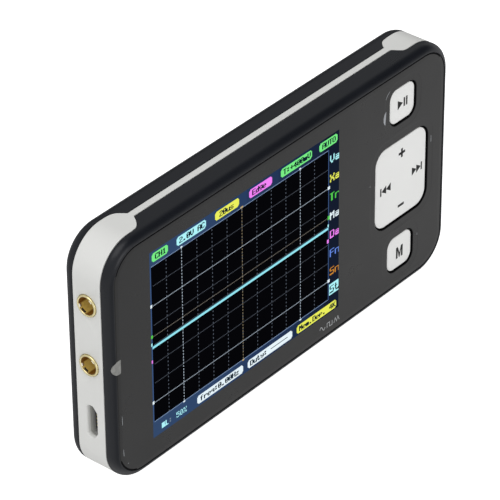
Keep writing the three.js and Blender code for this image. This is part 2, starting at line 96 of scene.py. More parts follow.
# size: width, height, corner radius; flange: front and back y; stem: radius, front and back y
KEYS = {
    "play_key": {"size": (7.86, 7.93, 2.05), "z": 18.03,
                 "flange": (-9.95, -9.4), "stem": (1.0, -9.5, -8.95)},
    "mode_key": {"size": (7.86, 7.93, 2.05), "z": -18.09,
                 "flange": (-9.95, -9.4), "stem": (1.0, -9.5, -8.95)},
    "nav_pad": {"size": (16.62, 18.84, 3.1), "z": -0.12,
                "flange": (-9.27, -8.97), "stem": (1.7, -9.1, -8.87)},
}
PORT_Y = -6.4
JACK_Z = {"input": 14.05, "output": 0.25}
USB_Y, USB_Z = -6.6, -13.2
KNOB_Y, KNOB_Z = -6.2, -1.0
# The light guide's head: centre of its round left side, flat right side, radius
GUIDE_X, GUIDE_Z = -50.12, 1.0
GUIDE_FLAT_X = -49.45
GUIDE_RADIUS = 1.58
SCREW_X, SCREW_Z = 46.0, 20.6
SCREWS = {
    "top_left": (-SCREW_X, SCREW_Z), "top_right": (SCREW_X, SCREW_Z),
    "bottom_right": (SCREW_X, -SCREW_Z), "bottom_left": (-SCREW_X, -SCREW_Z),
}
COLS, ROWS = 320, 240  # cells of the display


# ------------------------------------------------------------------ mesh helpers
def finish_mesh(obj, sharp_deg=34.0):
    """Weld, turn the normals outwards, shade smooth and mark edges over sharp_deg as sharp."""
    bm = bmesh.new()
    bm.from_mesh(obj.data)
    bmesh.ops.remove_doubles(bm, verts=bm.verts, dist=1e-8)
    bmesh.ops.recalc_face_normals(bm, faces=bm.faces)
    limit = math.radians(sharp_deg)
    for face in bm.faces:
        face.smooth = True
    for edge in bm.edges:
        edge.smooth = not (len(edge.link_faces) == 2 and edge.calc_face_angle(0.0) > limit)
    bm.to_mesh(obj.data)
    bm.free()
    obj.data.update()
    return obj


def link_object(name, mesh):
    obj = bpy.data.objects.new(name, mesh)
    bpy.context.scene.collection.objects.link(obj)
    return obj


def raw_mesh(name, verts, faces):
    mesh = bpy.data.meshes.new(name)
    mesh.from_pydata([(x * MM, y * MM, z * MM) for x, y, z in verts], [],
                     [tuple(face) for face in faces])
    return mesh


def new_object(name, verts, faces, sharp_deg=34.0):
    mesh = raw_mesh(name, verts, faces)
    mesh.update()
    return finish_mesh(link_object(name, mesh), sharp_deg)


def add_rows(verts, faces, rows, closed=False, wrap=True):
    """Join rows of points by quads and return their vertex numbers.

    closed joins the last row to the first; wrap joins the two ends of every row.
    """
    ids = []
    for row in rows:
        ids.append(list(range(len(verts), len(verts) + len(row))))
        verts.extend(row)
    pairs = list(zip(ids, ids[1:])) + ([(ids[-1], ids[0])] if closed else [])
    for a, b in pairs:
        count = len(a)
        for i in range(count if wrap else count - 1):
            j = (i + 1) % count
            faces.append([a[i], a[j], b[j], b[i]])
    return ids


def tessellate(loops):
    return tessellate_polygon([[Vector((u, v, 0.0)) for u, v in loop] for loop in loops])


def add_cap(faces, loops, ids):
    """Fill between a flat outer loop and its holes; ids are the matching vertex numbers."""
    flat = [i for loop_ids in ids for i in loop_ids]
    for triangle in tessellate(loops):
        faces.append([flat[k] for k in triangle])


def stack_solid(name, rows, holes=(), ring=False, sharp_deg=34.0):
    """A closed solid from rows of points (x, y, z), front cap first.

    Each hole is its own stack of rows from the front cap to the back cap. With ring=True the
    last row joins the first instead.
    """
    verts, faces = [], []
    stacks = [rows, *holes]
    ids = [add_rows(verts, faces, stack, ring) for stack in stacks]
    if not ring:
        for end in (0, -1):
            loops = [[(x, z) for x, _, z in stack[end]] for stack in stacks]
            add_cap(faces, loops, [stack_ids[end] for stack_ids in ids])
    return new_object(name, verts, faces, sharp_deg)


def x_stack(name, stations, ring=False):
    """A closed solid from loops in (y, z) at stations along X."""
    verts, faces = [], []
    ids = add_rows(verts, faces, [[(x, y, z) for y, z in loop] for x, loop in stations], ring)
    if not ring:
        for end in (0, -1):
            add_cap(faces, [stations[end][1]], [ids[end]])
    return new_object(name, verts, faces)


def round_rect(width, height, radius, centre_u=0.0, centre_v=0.0, steps=10):
    radius = max(radius, 0.04)
    points = []
    for k, (side_u, side_v) in enumerate(((1, 1), (-1, 1), (-1, -1), (1, -1))):
        for i in range(steps + 1):
            a = math.radians(90 * k + 90 * i / steps)
            points.append((centre_u + side_u * (width / 2 - radius) + radius * math.cos(a),
                           centre_v + side_v * (height / 2 - radius) + radius * math.sin(a)))
    return points


def at_y(loop, y):
    return [(x, y, z) for x, z in loop]


def circle(radius, y, x, z, steps):
    angles = [2 * math.pi * i / steps for i in range(steps)]
    return [(x + radius * math.cos(a), y, z + radius * math.sin(a)) for a in angles]


def lathe_x(name, profile, z, steps=48, ring=True, start=0.0, end=360.0):
    """Turn a profile of (x, radius) about the line through (PORT_Y, z) along X.

    With ring=True the profile is a closed loop. start and end are degrees from the rear.
    """
    full = end - start >= 359.99
    rows = []
    for x, radius in profile:
        row = []
        for i in range(steps if full else steps + 1):
            a = math.radians(start + (end - start) * i / steps)
            row.append((x, PORT_Y + radius * math.cos(a), z + radius * math.sin(a)))
        rows.append(row)
    verts, faces = [], []
    ids = add_rows(verts, faces, rows, ring, full)
    if not full:
        faces.append([row[0] for row in ids])
        faces.append([row[-1] for row in ids][::-1])
    elif not ring:
        faces.append(ids[0])
        faces.append(ids[-1][::-1])
    return new_object(name, verts, faces)


def lathe_y(name, profile, x, z, steps):
    """Turn a profile of (radius, y), from axis to axis, about the line through (x, z) along Y."""
    verts, faces, rows = [], [], []
    for radius, y in profile:
        points = [(x, y, z)] if radius < 1e-6 else circle(radius, y, x, z, steps)
        rows.append(list(range(len(verts), len(verts) + len(points))))
        verts.extend(points)
    for a, b in zip(rows, rows[1:]):
        for i in range(steps):
            j = (i + 1) % steps
            if len(a) == 1:
                faces.append([a[0], b[j], b[i]])
            elif len(b) == 1:
                faces.append([a[i], a[j], b[0]])
            else:
                faces.append([a[i], a[j], b[j], b[i]])
    return new_object(name, verts, faces)


def span(centre, half):
    return centre - half, centre + half


def soft_box(name, xs, ys, zs, bevel, segments=2):
    """A box between three pairs of limits, with rounded edges."""
    bm = bmesh.new()
    bmesh.ops.create_cube(bm, size=1.0)
    for v in bm.verts:
        v.co = Vector([(lo + hi) / 2 + unit * (hi - lo)
                       for unit, (lo, hi) in zip(v.co, (xs, ys, zs))])
    bmesh.ops.bevel(bm, geom=list(bm.edges), offset=bevel, segments=segments, profile=0.5,
                    affect="EDGES", clamp_overlap=True)
    bm.verts.index_update()
    verts = [tuple(v.co) for v in bm.verts]
    faces = [[v.index for v in face.verts] for face in bm.faces]
    bm.free()
    return new_object(name, verts, faces, 50.0)


def inlay(name, shapes, y_at, thick, sink=0.02):
    """Thin closed solids of flat shapes in (x, z), standing thick proud of the surface y_at."""
    verts, faces = [], []
    for shape in shapes:
        n = len(shape)
        base = len(verts)
        verts += [(x, y_at(x, z) - thick, z) for x, z in shape]
        verts += [(x, y_at(x, z) + sink, z) for x, z in shape]
        for triangle in tessellate([shape]):
            faces.append([base + k for k in triangle])
            faces.append([base + n + k for k in reversed(triangle)])
        for i in range(n):
            j = (i + 1) % n
            faces.append([base + i, base + j, base + n + j, base + n + i])
    return new_object(name, verts, faces, 30.0)


def cut(obj, cutter, sharp_deg=34.0):
    """Take the cutter out of obj, then remove the cutter."""
    modifier = obj.modifiers.new("cut", "BOOLEAN")
    modifier.operation = "DIFFERENCE"
    modifier.solver = "EXACT"
    modifier.object = cutter
    depsgraph = bpy.context.evaluated_depsgraph_get()
    depsgraph.update()
    mesh = bpy.data.meshes.new_from_object(obj.evaluated_get(depsgraph))
    obj.modifiers.clear()
    old = obj.data
    obj.data = mesh
    bpy.data.meshes.remove(old)
    bpy.data.objects.remove(cutter)
    return finish_mesh(obj, sharp_deg)


def join(name, pieces):
    """Merge finished meshes into one object, keeping each one's materials."""
    bm = bmesh.new()
    materials = []
    for piece in pieces:
        first = len(bm.faces)
        bm.from_mesh(piece.data)
        bm.faces.ensure_lookup_table()
        for face in bm.faces[first:]:
            face.material_index += len(materials)
        materials.extend(list(piece.data.materials) or [None])
    mesh = bpy.data.meshes.new(name)
    bm.to_mesh(mesh)
    bm.free()
    for material in materials:
        mesh.materials.append(material)
    joined = link_object(name, mesh)
    for piece in pieces:
        bpy.data.objects.remove(piece)
    return joined


# ------------------------------------------------------------------ shader helpers
def linear(rgb):
    """Linear RGBA of an sRGB colour given as 0 to 255."""
    out = []
    for c in rgb:
        c = c / 255.0
        out.append(c / 12.92 if c <= 0.04045 else ((c + 0.055) / 1.055) ** 2.4)
    return (*out, 1.0)


def scaled(colour, factor):
    return tuple(min(1.0, c * factor) for c in colour[:3]) + (1.0,)


def feed(tree, target, inputs):
    """Set a node's inputs: a socket is linked, anything else becomes the value."""
    for key, value in inputs.items():
        if isinstance(value, bpy.types.NodeSocket):
            tree.links.new(value, target.inputs[key])
        else:
            target.inputs[key].default_value = value


def add_node(tree, kind, inputs=None, **settings):
    made = tree.nodes.new("ShaderNode" + kind)
    for key, value in settings.items():
        setattr(made, key, value)
    feed(tree, made, inputs or {})
    return made


def node_material(name):
    material = bpy.data.materials.new(name)
    material.use_nodes = True
    tree = material.node_tree
    tree.nodes.clear()
    out = add_node(tree, "OutputMaterial")
    bsdf = add_node(tree, "BsdfPrincipled")
    tree.links.new(bsdf.outputs[0], out.inputs[0])
    return material, tree, bsdf


def principled(tree):
    return next(n for n in tree.nodes if n.type == "BSDF_PRINCIPLED")


def remap(tree, value, low, high, start=0.3, end=0.7, smooth=False):
    """low where value is at start, high where it is at end, clamped outside."""
    return add_node(
        tree, "MapRange",
        {"From Min": start, "From Max": end, "To Min": low, "To Max": high, "Value": value},
        interpolation_type="SMOOTHSTEP" if smooth else "LINEAR").outputs[0]


def math_node(tree, operation, a, b):
    return add_node(tree, "Math", {0: a, 1: b}, operation=operation).outputs[0]


def dot_product(tree, vector, direction):
    return add_node(tree, "VectorMath", {0: vector, 1: direction},
                    operation="DOT_PRODUCT").outputs["Value"]


def object_coord(tree):
    return add_node(tree, "TexCoord").outputs["Object"]


def noise(tree, coord, size, detail=2.0, rough=0.55, stretch=None):
    """Noise with features of the given size in millimetres."""
    if stretch:
        coord = add_node(tree, "Mapping", {"Scale": stretch, "Vector": coord}).outputs[0]
    return add_node(tree, "TexNoise", {"Scale": 1000.0 / size, "Detail": detail,
                                       "Roughness": rough, "Vector": coord}).outputs[0]


def mix_colour(tree, factor, a, b):
    return add_node(tree, "Mix", {0: factor, 6: a, 7: b}, data_type="RGBA").outputs[2]


def mix_value(tree, factor, a, b):
    return add_node(tree, "Mix", {0: factor, 2: a, 3: b}).outputs[0]


def bump_normal(tree, height, strength, depth):
    return add_node(tree, "Bump", {"Strength": strength, "Distance": depth * MM,
                                   "Height": height}).outputs[0]


# ------------------------------------------------------------------ materials
def moulded(name, rgb, rough=0.45, var=0.08, rough_var=0.06, grain=0.22, bump=0.12, depth=0.02,
            spec=0.5, metal=0.0, cloud=14.0, coat=0.0, subsurface=0.0):
    """Moulded or finished surface: a fine grain in the bump, slow clouds in colour and roughness.

    var is the share by which the colour varies; grain, depth and cloud are millimetres.
    """
    material, tree, bsdf = node_material(name)
    coord = object_coord(tree)
    fine = noise(tree, coord, grain)
    slow = noise(tree, coord, cloud, detail=3.0)
    base = linear(rgb)
    feed(tree, bsdf, {
        "Base Color": mix_colour(tree, remap(tree, slow, 0.0, 1.0), scaled(base, 1 - var),
                                 scaled(base, 1 + var)),
        "Roughness": math_node(tree, "ADD",
                               remap(tree, slow, rough - rough_var, rough + rough_var),
                               remap(tree, fine, -rough_var * 0.5, rough_var * 0.5)),
        "Metallic": metal,
        "Specular IOR Level": spec,
        "Coat Weight": coat,
        "Coat Roughness": 0.15,
    })
    if subsurface:
        feed(tree, bsdf, {"Subsurface Weight": subsurface,
                          "Subsurface Radius": (0.0008, 0.0008, 0.0008)})
    if bump:
        feed(tree, bsdf, {"Normal": bump_normal(tree, fine, bump, depth)})
    return material


def brushed(name, rgb, rough=0.3, stretch=(1.0, 30.0, 30.0), size=6.0, metal=1.0, var=0.12):
    """Metal with a directional or turned finish."""
    material, tree, bsdf = node_material(name)
    coord = object_coord(tree)
    lines = noise(tree, coord, size, detail=3.0, rough=0.6, stretch=stretch)
    slow = noise(tree, coord, 3.0)
    base = linear(rgb)
    feed(tree, bsdf, {
        "Base Color": mix_colour(tree, remap(tree, lines, 0.0, 1.0), scaled(base, 1 - var), base),
        "Roughness": remap(tree, slow, rough - 0.05, rough + 0.07),
        "Metallic": metal,
        "Normal": bump_normal(tree, lines, strength=0.05, depth=0.01),
    })
    return material


def shell_plastic():
    """Dark plastic whose shine fades at grazing angles, so it does not glint at its outline."""
    material = moulded("shell_dark", (23, 25, 30), rough=0.30, grain=0.16, bump=0.06,
                       depth=0.008, spec=0.25, rough_var=0.03)
    tree = material.node_tree
    grazing = add_node(tree, "LayerWeight", {"Blend": 0.5}).outputs["Facing"]
    feed(tree, principled(tree),
         {"Specular IOR Level": remap(tree, grazing, 0.25, 0.0, start=0.58, end=0.92)})
    return material


def lens_plastic():
    """The lens body: a satin dark grey, with painted light making it a little paler towards the
    lower right.
    """
    material = moulded("lens_dark", (26, 26, 27), rough=0.30, var=0.05, grain=0.20, bump=0.02,
                       depth=0.003, spec=0.22, cloud=11.0, rough_var=0.03)
    tree = material.node_tree
    coord = object_coord(tree)
    slope = dot_product(tree, coord, (1 / 0.25, 0.0, -1 / 0.13))
    wobble = remap(tree, noise(tree, coord, 26.0), -0.12, 0.12)
    painted_light_mix = remap(tree, math_node(tree, "ADD", slope, wobble), 0.0, 1.0, start=-0.72, end=0.28)
    feed(tree, principled(tree), {"Base Color": mix_colour(
        tree, painted_light_mix, (0.0055, 0.0056, 0.0060, 1), (0.0265, 0.0262, 0.0262, 1))})
    return material


def bore_gold():
    """Plating inside a narrow bore, with painted light and shade: pale where it faces forwards and
    up, painted brown shade elsewhere.
    """
    material, tree, bsdf = node_material("gold_plate_bore_painted_light")
    normal = add_node(tree, "NewGeometry").outputs["Normal"]
    facing = remap(tree, dot_product(tree, normal, (0.0, -0.69, 0.724)), 0.0, 1.0,
                   start=0.70, end=0.86, smooth=True)
    wear = noise(tree, object_coord(tree), 0.5)
    lit_and_shaded_tone = mix_colour(tree, facing, linear((98, 60, 12)), linear((186, 158, 78)))
    shade = mix_colour(tree, remap(tree, wear, 0.0, 0.25), lit_and_shaded_tone, linear((120, 84, 28)))
    feed(tree, bsdf, {
        "Base Color": shade,
        "Emission Color": shade,  # stands in for the light that bounces round the bore
        "Emission Strength": 0.30,
        "Metallic": 0.3,
        "Roughness": 0.5,
        "Specular IOR Level": 0.3,
    })
    material.cycles.emission_sampling = "NONE"
    return material


def lit(name, rgb):
    """One colour of display cell: it makes its own light, and its face is nearly black."""
    material, tree, bsdf = node_material(name)
    feed(tree, bsdf, {
        "Base Color": (0.002, 0.002, 0.003, 1.0),
        "Roughness": 0.25,
        "Specular IOR Level": 0.0,
        "Emission Color": linear(rgb),
        "Emission Strength": 1.0,
    })
    material.cycles.emission_sampling = "NONE"
    return material


# Keyed by the frame's material slots, with extra finishes between them.
MATERIALS = {
    "shell_black": shell_plastic(),
    "frame_grey": moulded("frame_light_grey", (222, 222, 219), rough=0.46, var=0.015,
                          grain=0.14, bump=0.10, depth=0.010, spec=0.35, subsurface=0.05),
    # pale marks on the lens: painted highlights beside the play key, and small pale flecks
    "glint_and_fleck": moulded("glint_and_fleck", (165, 168, 172), rough=0.6, var=0.3, grain=0.5, bump=0.05,
                     spec=0.1),
    # near-black finish that paints shade: in the groove along the top and lower left of the lens,
    # and on the walls of the key holes
    "lens_edge_painted_shade": moulded("lens_edge_painted_shade", (7, 7, 9), rough=0.5, var=0.05, grain=0.2, bump=0.03,
                         spec=0.04),
    "lens": lens_plastic(),
    "key_white": moulded("key_white", (238, 238, 236), rough=0.40, var=0.012, grain=0.18,
                         bump=0.07, depth=0.010, spec=0.35, subsurface=0.05),
    "key_ink": moulded("key_ink", (9, 9, 11), rough=0.55, var=0.15, grain=0.08, bump=0.05,
                       depth=0.003, spec=0.3),
    "lens_ink": moulded("lens_ink", (176, 178, 180), rough=0.55, var=0.05, grain=0.08,
                        bump=0.05, depth=0.003, spec=0.3),
    "gold": brushed("gold_plate", (240, 226, 174), rough=0.22, stretch=(30.0, 1.0, 1.0),
                    size=2.0),
    # a spare finish: no piece wears it
    "gold_dark": brushed("gold_plate_inner", (236, 196, 108), rough=0.28,
                         stretch=(30.0, 1.0, 1.0), size=2.0),
    # near-white plating for the dimples in the sockets: a painted glint, whiter than the gold
    # round it
    "gold_pale": brushed("gold_plate_painted_glint", (255, 250, 232), rough=0.36,
                         stretch=(1.0, 1.0, 1.0), size=0.6, var=0.04),
    "gold_bore": bore_gold(),
    "nickel": moulded("can_nickel", (188, 188, 184), rough=0.42, var=0.04, grain=0.2, bump=0.06,
                      metal=0.3, spec=0.4),
    "ptfe": moulded("ptfe", (236, 233, 224), rough=0.5, var=0.03, grain=0.1, bump=0.05,
                    subsurface=0.1),
    "steel": brushed("tinned_steel", (186, 188, 192), rough=0.28),
    "board_green": moulded("solder_mask", (24, 84, 48), rough=0.32, var=0.18, grain=0.5,
                           bump=0.08, cloud=3.0, coat=0.3),
    "black_plastic": moulded("black_moulding", (22, 23, 25), rough=0.48, var=0.12, grain=0.12),
    "display_glass": moulded("display_glass_dark", (10, 12, 18), rough=0.12, var=0.2, bump=0.0,
                             coat=0.4),
    "tray_steel": brushed("tray_sheet", (168, 172, 175), rough=0.34, size=9.0),
    "foam": moulded("foam", (44, 44, 46), rough=0.9, var=0.25, grain=0.35, bump=0.6, depth=0.1,
                    spec=0.2, cloud=1.2),
    "polyimide": moulded("polyimide", (150, 84, 26), rough=0.28, var=0.2, grain=0.3, bump=0.03,
                         coat=0.3, cloud=2.0),
    "mask_black": moulded("printed_mask", (18, 19, 21), rough=0.6, var=0.1, grain=0.1,
                          bump=0.04),
    "battery_foil": moulded("battery_foil", (176, 180, 186), rough=0.36, grain=0.9, bump=0.25,
                            depth=0.05, metal=0.7, cloud=6.0),
    "wire_red": moulded("wire_red", (176, 30, 26), rough=0.42, grain=0.2, bump=0.05),
    "wire_black": moulded("wire_black", (22, 22, 23), rough=0.42, grain=0.2, bump=0.05),
    "light_guide": moulded("light_guide_frosted", (134, 134, 131), rough=0.5, var=0.16,
                           grain=0.12, bump=0.15, spec=0.4, subsurface=0.3, cloud=0.7),
    "screw_black": brushed("screw_black_oxide", (58, 60, 64), rough=0.36,
                           stretch=(1.0, 1.0, 1.0), size=0.4, metal=0.9),
    "plunger": moulded("plunger", (30, 30, 31), rough=0.5, var=0.1, grain=0.1, bump=0.08),
    "contact": brushed("contact_gold", (206, 186, 110), rough=0.3, size=1.0),
}


def dress(obj, material):
    obj.data.materials.clear()
    obj.data.materials.append(MATERIALS[material])
    return obj


def attach(obj, slot, *replaced, body="case"):
    """Parent obj to the empty of the body that carries it and hide the nodes it stands in for;
    slot is not used.
    """
    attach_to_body(obj, body)
    if replaced:
        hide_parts(*replaced)


def place(obj, slot, *replaced, body="case", material=None):
    attach(dress(obj, material or slot), slot, *replaced, body=body)


# ------------------------------------------------------------------ the outer form
def cut_corners(points, rounds=3):
    """Smooth a line by cutting its corners."""
    for _ in range(rounds):
        new = [points[0]]
        for (ax, ay), (bx, by) in zip(points, points[1:]):
            new += [(0.75 * ax + 0.25 * bx, 0.75 * ay + 0.25 * by),
                    (0.25 * ax + 0.75 * bx, 0.25 * ay + 0.75 * by)]
        new.append(points[-1])
        points = new
    return points


def edge_curve(edge):
    """One edge of the middle frame as (x, y), running past both ends of the case."""
    def knee(side):
        return [(edge[side + "_start"] + d, edge["stripe"] + f * (edge[side] - edge["stripe"]))
                for d, f in edge[side + "_knee"]]

    left = [(-x, y) for x, y in knee("left")][::-1]
    return [(-60.0, edge["left"]), *cut_corners(left), *cut_corners(knee("right")),
            (60.0, edge["right"])]


FRONT_CURVE = edge_curve(FRAME_EDGES["front"])
REAR_CURVE = edge_curve(FRAME_EDGES["rear"])


def seam_edge(curve, towards, offset=0.0):
    """y, as a function of x, of the part beside a seam: half the seam and offset off the curve."""
    def y_at(x):
        y = float(np.interp(x, [p[0] for p in curve], [p[1] for p in curve]))
        return y + towards * SEAM / 2 + towards * offset
    return y_at


def long_side_samples():
    """x of the outline points on a long side: enough to follow both edges of the frame."""
    xs = [-CORNER_X, CORNER_X]
    xs += [p[0] for curve in (FRONT_CURVE, REAR_CURVE) for p in curve if abs(p[0]) < CORNER_X]
    xs += list(np.linspace(-38.0, 38.0, 15))
    xs.sort()
    out = [xs[0]]
    for x in xs[1:]:
        if x - out[-1] > 0.045:
            out.append(x)
    out[-1] = CORNER_X
    return out


def outline(xs):
    """The outermost section as (x, z, normal x, normal z), anticlockwise from the front."""
    points = [(x, HEIGHT / 2, 0.0, 1.0) for x in reversed(xs)]

    def arc(centre_x, centre_z, start_deg):
        for i in range(1, CORNER_STEPS):
            a = math.radians(start_deg + 90.0 * i / CORNER_STEPS)
            points.append((centre_x + CORNER * math.cos(a), centre_z + CORNER * math.sin(a),
                           math.cos(a), math.sin(a)))

    zs = list(np.linspace(CORNER_Z, -CORNER_Z, 7))
    arc(-CORNER_X, CORNER_Z, 90)
    points.extend((-LENGTH / 2, z, -1.0, 0.0) for z in zs)
    arc(-CORNER_X, -CORNER_Z, 180)
    points.extend((x, -HEIGHT / 2, 0.0, -1.0) for x in xs)
    arc(CORNER_X, -CORNER_Z, 270)
    points.extend((LENGTH / 2, z, 1.0, 0.0) for z in reversed(zs))
    arc(CORNER_X, CORNER_Z, 0)
    return points


FINE_OUTLINE = outline(long_side_samples())
PLAIN_OUTLINE = outline([-CORNER_X, -38, -30, -20, -10, 0, 10, 20, 27, 35, CORNER_X])
BOW_X, BOW_BULGE = zip(*BOW)


def sections(points, profile):
    """The outline at each (inset, y) of a profile; y may be a number or a function of x."""
    return [[(x - nx * inset, y(x) if callable(y) else y,
              z - nz * inset - float(np.interp(x, BOW_X, BOW_BULGE)) * max(0.0, -nz) ** 2)
             for x, z, nx, nz in points] for inset, y in profile]


def roll(radius, start_deg, steps, front=True):
    """Rolled edge from the face towards the side: pairs of (inset, y)."""
    out = []
    for i in range(steps + 1):
        a = math.radians(start_deg * (1 - i / steps))
        inset, drop = radius * (1 - math.cos(a)), radius * (1 - math.sin(a))
        out.append((inset, -THICK + drop if front else -drop))
    return out


def key_outline(key, grow, steps=10):
    width, height, radius = KEYS[key]["size"]
    return round_rect(width + 2 * grow, height + 2 * grow, radius + grow, KEY_X,
                      KEYS[key]["z"], steps)


def guide_cutter(name, gap, steps=24):
    """The light guide's outline: round on the left, straight on the right."""
    r, flat_x = GUIDE_RADIUS + gap, GUIDE_FLAT_X + gap
    loop = [(flat_x, GUIDE_Z - r), (flat_x, GUIDE_Z + r)]
    for i in range(steps + 1):
        a = math.radians(90 + 180 * i / steps)
        loop.append((GUIDE_X + r * math.cos(a), GUIDE_Z + r * math.sin(a)))
    return stack_solid(name, [at_y(loop, -13.5), at_y(loop, -10.6)])


# ------------------------------------------------------------------ front shell
def build_front_shell():
    inset = GROOVE + 0.04
    start_deg = math.degrees(math.acos(1 - (inset - 0.06) / FRONT_ROLL))
    rim = roll(FRONT_ROLL, start_deg, 9)
    rim_y = rim[0][1]
    profile = [(inset, WEB_FRONT), (inset, rim_y + 0.10), (inset - 0.005, rim_y + 0.04),
               (inset - 0.025, rim_y + 0.01), *rim]
    profile += [(d, seam_edge(FRONT_CURVE, FORWARD, offset)) for d, offset in
                [(0, 0.17), (0, 0.08), (0.02, 0.03), (0.08, 0.0), (WALL, 0.0)]]
    profile.append((WALL + 0.02, WEB_BACK))
    openings = [round_rect(61.7, 46.5, 0.8, -11.6, 0.2, 4)]  # the display's
    openings += [key_outline(key, KEY_GAP) for key in KEYS]
    shell = stack_solid("front_shell_skin", sections(FINE_OUTLINE, profile),
                        [[at_y(loop, WEB_FRONT), at_y(loop, WEB_BACK)] for loop in openings])
    shell = cut(shell, guide_cutter("cut_d", gap=0.07))
    place(shell, "shell_black", "front_shell")


build_front_shell()


# ------------------------------------------------------------------ light guide
def guide_face_y(x):
    """Follows the rolled edge of the case, then the face of the lens."""
    d = min(max(x + LENGTH / 2, 0.0), FRONT_ROLL)
    rolled = -THICK + FRONT_ROLL - math.sqrt(FRONT_ROLL ** 2 - (FRONT_ROLL - d) ** 2)
    return max(rolled, LENS_FRONT - 0.01)


def guide_station(x):
    """Loop in (y, z) across the head at x, with softened front corners."""
    ease = 0.03 if x > -49.46 else 0.0  # softens the last corner, at the flat side
    half = math.sqrt(max(0.0, GUIDE_RADIUS ** 2 - min(0.0, x - GUIDE_X) ** 2)) - ease
    y = guide_face_y(x) + ease
    side = [(y + 0.05, half), (y + 0.012, half - min(0.02, half * 0.2)),
            (y, half - min(0.06, half * 0.4))]
    loop = [(v, GUIDE_Z - w) for v, w in side] + [(v, GUIDE_Z + w) for v, w in reversed(side)]
    return x, loop + [(-10.7, GUIDE_Z + half), (-10.7, GUIDE_Z - half)]


def build_light_guide():
    xs = [-51.694, -51.68, -51.65, -51.6, -51.5]
    xs += [float(x) for x in np.linspace(-51.38, -50.2, 13)]
    xs += [GUIDE_X, -49.9, -49.53, -49.48, GUIDE_FLAT_X]
    zs = span(GUIDE_Z, 0.6)
    place(join("light_guide_body", [
        x_stack("guide_head", [guide_station(x) for x in xs]),
        soft_box("arm", (-50.6, -44.5), (-11.1, -10.62), zs, 0.08),
        soft_box("leg", (-45.7, -44.5), (-10.9, -7.75), zs, 0.08),
    ]), "light_guide", "light_guide")


build_light_guide()

# ------------------------------------------------------------------ rear cover
# Columns: radius, y
SCREW_HOLE = [(2.2, 0.0), (2.13, -0.02), (2.05, -0.12), (2.05, -1.2), (1.25, -1.2), (1.25, -1.3)]
BOSS = [(2.5, -1.28), (2.5, -5.6), (2.4, -5.73)]
BOSS_HOLE = [(1.2, -1.28), (1.2, -5.6), (1.25, -5.73)]


def build_rear_cover():
    def edge(offset, limit=0.0):
        """The cover's edge at the seam, kept at or in front of limit."""
        y_at = seam_edge(REAR_CURVE, BACKWARD, offset)
        return lambda x: min(limit, y_at(x))

    def circles(profile, x, z, steps):
        return [circle(radius, y, x, z, steps) for radius, y in profile]

    profile = [(REAR_ROLL + 0.15, 0.0), *roll(REAR_ROLL, 90, 12, front=False)]
    profile += [(0, edge(0.10, -2.72)), (0, edge(0.06, -2.75)), (0.02, edge(0.02)),
                (0.08, edge(0.0)), (WALL, edge(0.0)), (WALL + 0.02, -1.3)]
    pieces = [stack_solid("rear_cover_skin", sections(FINE_OUTLINE, profile),
                          [circles(SCREW_HOLE, x, z, 40) for x, z in SCREWS.values()])]
    for corner, (x, z) in SCREWS.items():
        pieces.append(stack_solid("boss_" + corner, circles(BOSS, x, z, 32),
                                  [circles(BOSS_HOLE, x, z, 32)]))
    place(join("rear_cover_body", pieces), "shell_black", "rear_cover")


build_rear_cover()

# ------------------------------------------------------------------ middle frame
BAND_LIP = [(2.6, 0.0), (0.10, 0.0), (0.03, 0.03), (0.0, 0.10), (0.0, 0.25)]  # inset, offset
JACK_OPENING = [(-45.0, 2.40), (-52.13, 2.40), (-52.21, 2.43), (-52.255, 2.52),
                (-53.5, 2.6)]  # x, radius
# Columns: x, width along Z, height along Y, front corner cut
USB_OPENING = [(-45.0, 7.5, 2.45, 1.0), (-51.9, 7.5, 2.45, 1.0), (-52.1, 7.58, 2.53, 1.0),
               (-52.26, 7.85, 2.8, 1.05), (-53.5, 8.0, 2.9, 1.05)]
# Columns: x, height along Y, width along Z, corner radius
KNOB_OPENING = [(45.0, 2.3, 5.4, 0.6), (51.9, 2.3, 5.4, 0.6), (52.12, 2.36, 5.46, 0.63),
                (52.26, 2.65, 5.75, 0.75), (53.5, 2.8, 5.9, 0.8)]


def usb_loop(width, height, corner):
    """The charging socket's section in (y, z): front corners cut by corner, rear ones by 0.5."""
    a, b = width / 2, height / 2
    front, rear = USB_Y - b, USB_Y + b
    raw = [(front, USB_Z - a + corner * 1.25), (front, USB_Z + a - corner * 1.25),
           (front + corner, USB_Z + a), (rear - 0.5, USB_Z + a), (rear, USB_Z + a - 0.5),
           (rear, USB_Z - a + 0.5), (rear - 0.5, USB_Z - a), (front + corner, USB_Z - a)]
    out = []
    for i in range(len(raw)):  # round each corner a little
        before, tip, after = (Vector(raw[k % len(raw)]) for k in (i - 1, i, i + 1))
        reach = min(0.22, (before - tip).length * 0.4, (after - tip).length * 0.4)
        start = tip + (before - tip).normalized() * reach
        end = tip + (after - tip).normalized() * reach
        for k in range(5):
            u = k / 4
            out.append(tuple((1 - u) ** 2 * start + 2 * u * (1 - u) * tip + u * u * end))
    return out


def usb_stack(name, table, ring=False):
    return x_stack(name, [(x, usb_loop(*size)) for x, *size in table], ring)


def build_middle_frame():
    profile = [(d, seam_edge(FRONT_CURVE, BACKWARD, offset)) for d, offset in BAND_LIP]
    profile += [(d, seam_edge(REAR_CURVE, FORWARD, offset)) for d, offset in reversed(BAND_LIP)]
    band = stack_solid("frame_band", sections(FINE_OUTLINE, profile), ring=True)
    for z in JACK_Z.values():
        band = cut(band, lathe_x("cut_jack", JACK_OPENING, z, 56, ring=False))
    band = cut(band, usb_stack("cut_usb", USB_OPENING))
    band = cut(band, x_stack("cut_slot", [(x, round_rect(*size, KNOB_Y, 0.0, 6))
                                          for x, *size in KNOB_OPENING]))
    place(band, "frame_grey", "middle_frame")


build_middle_frame()


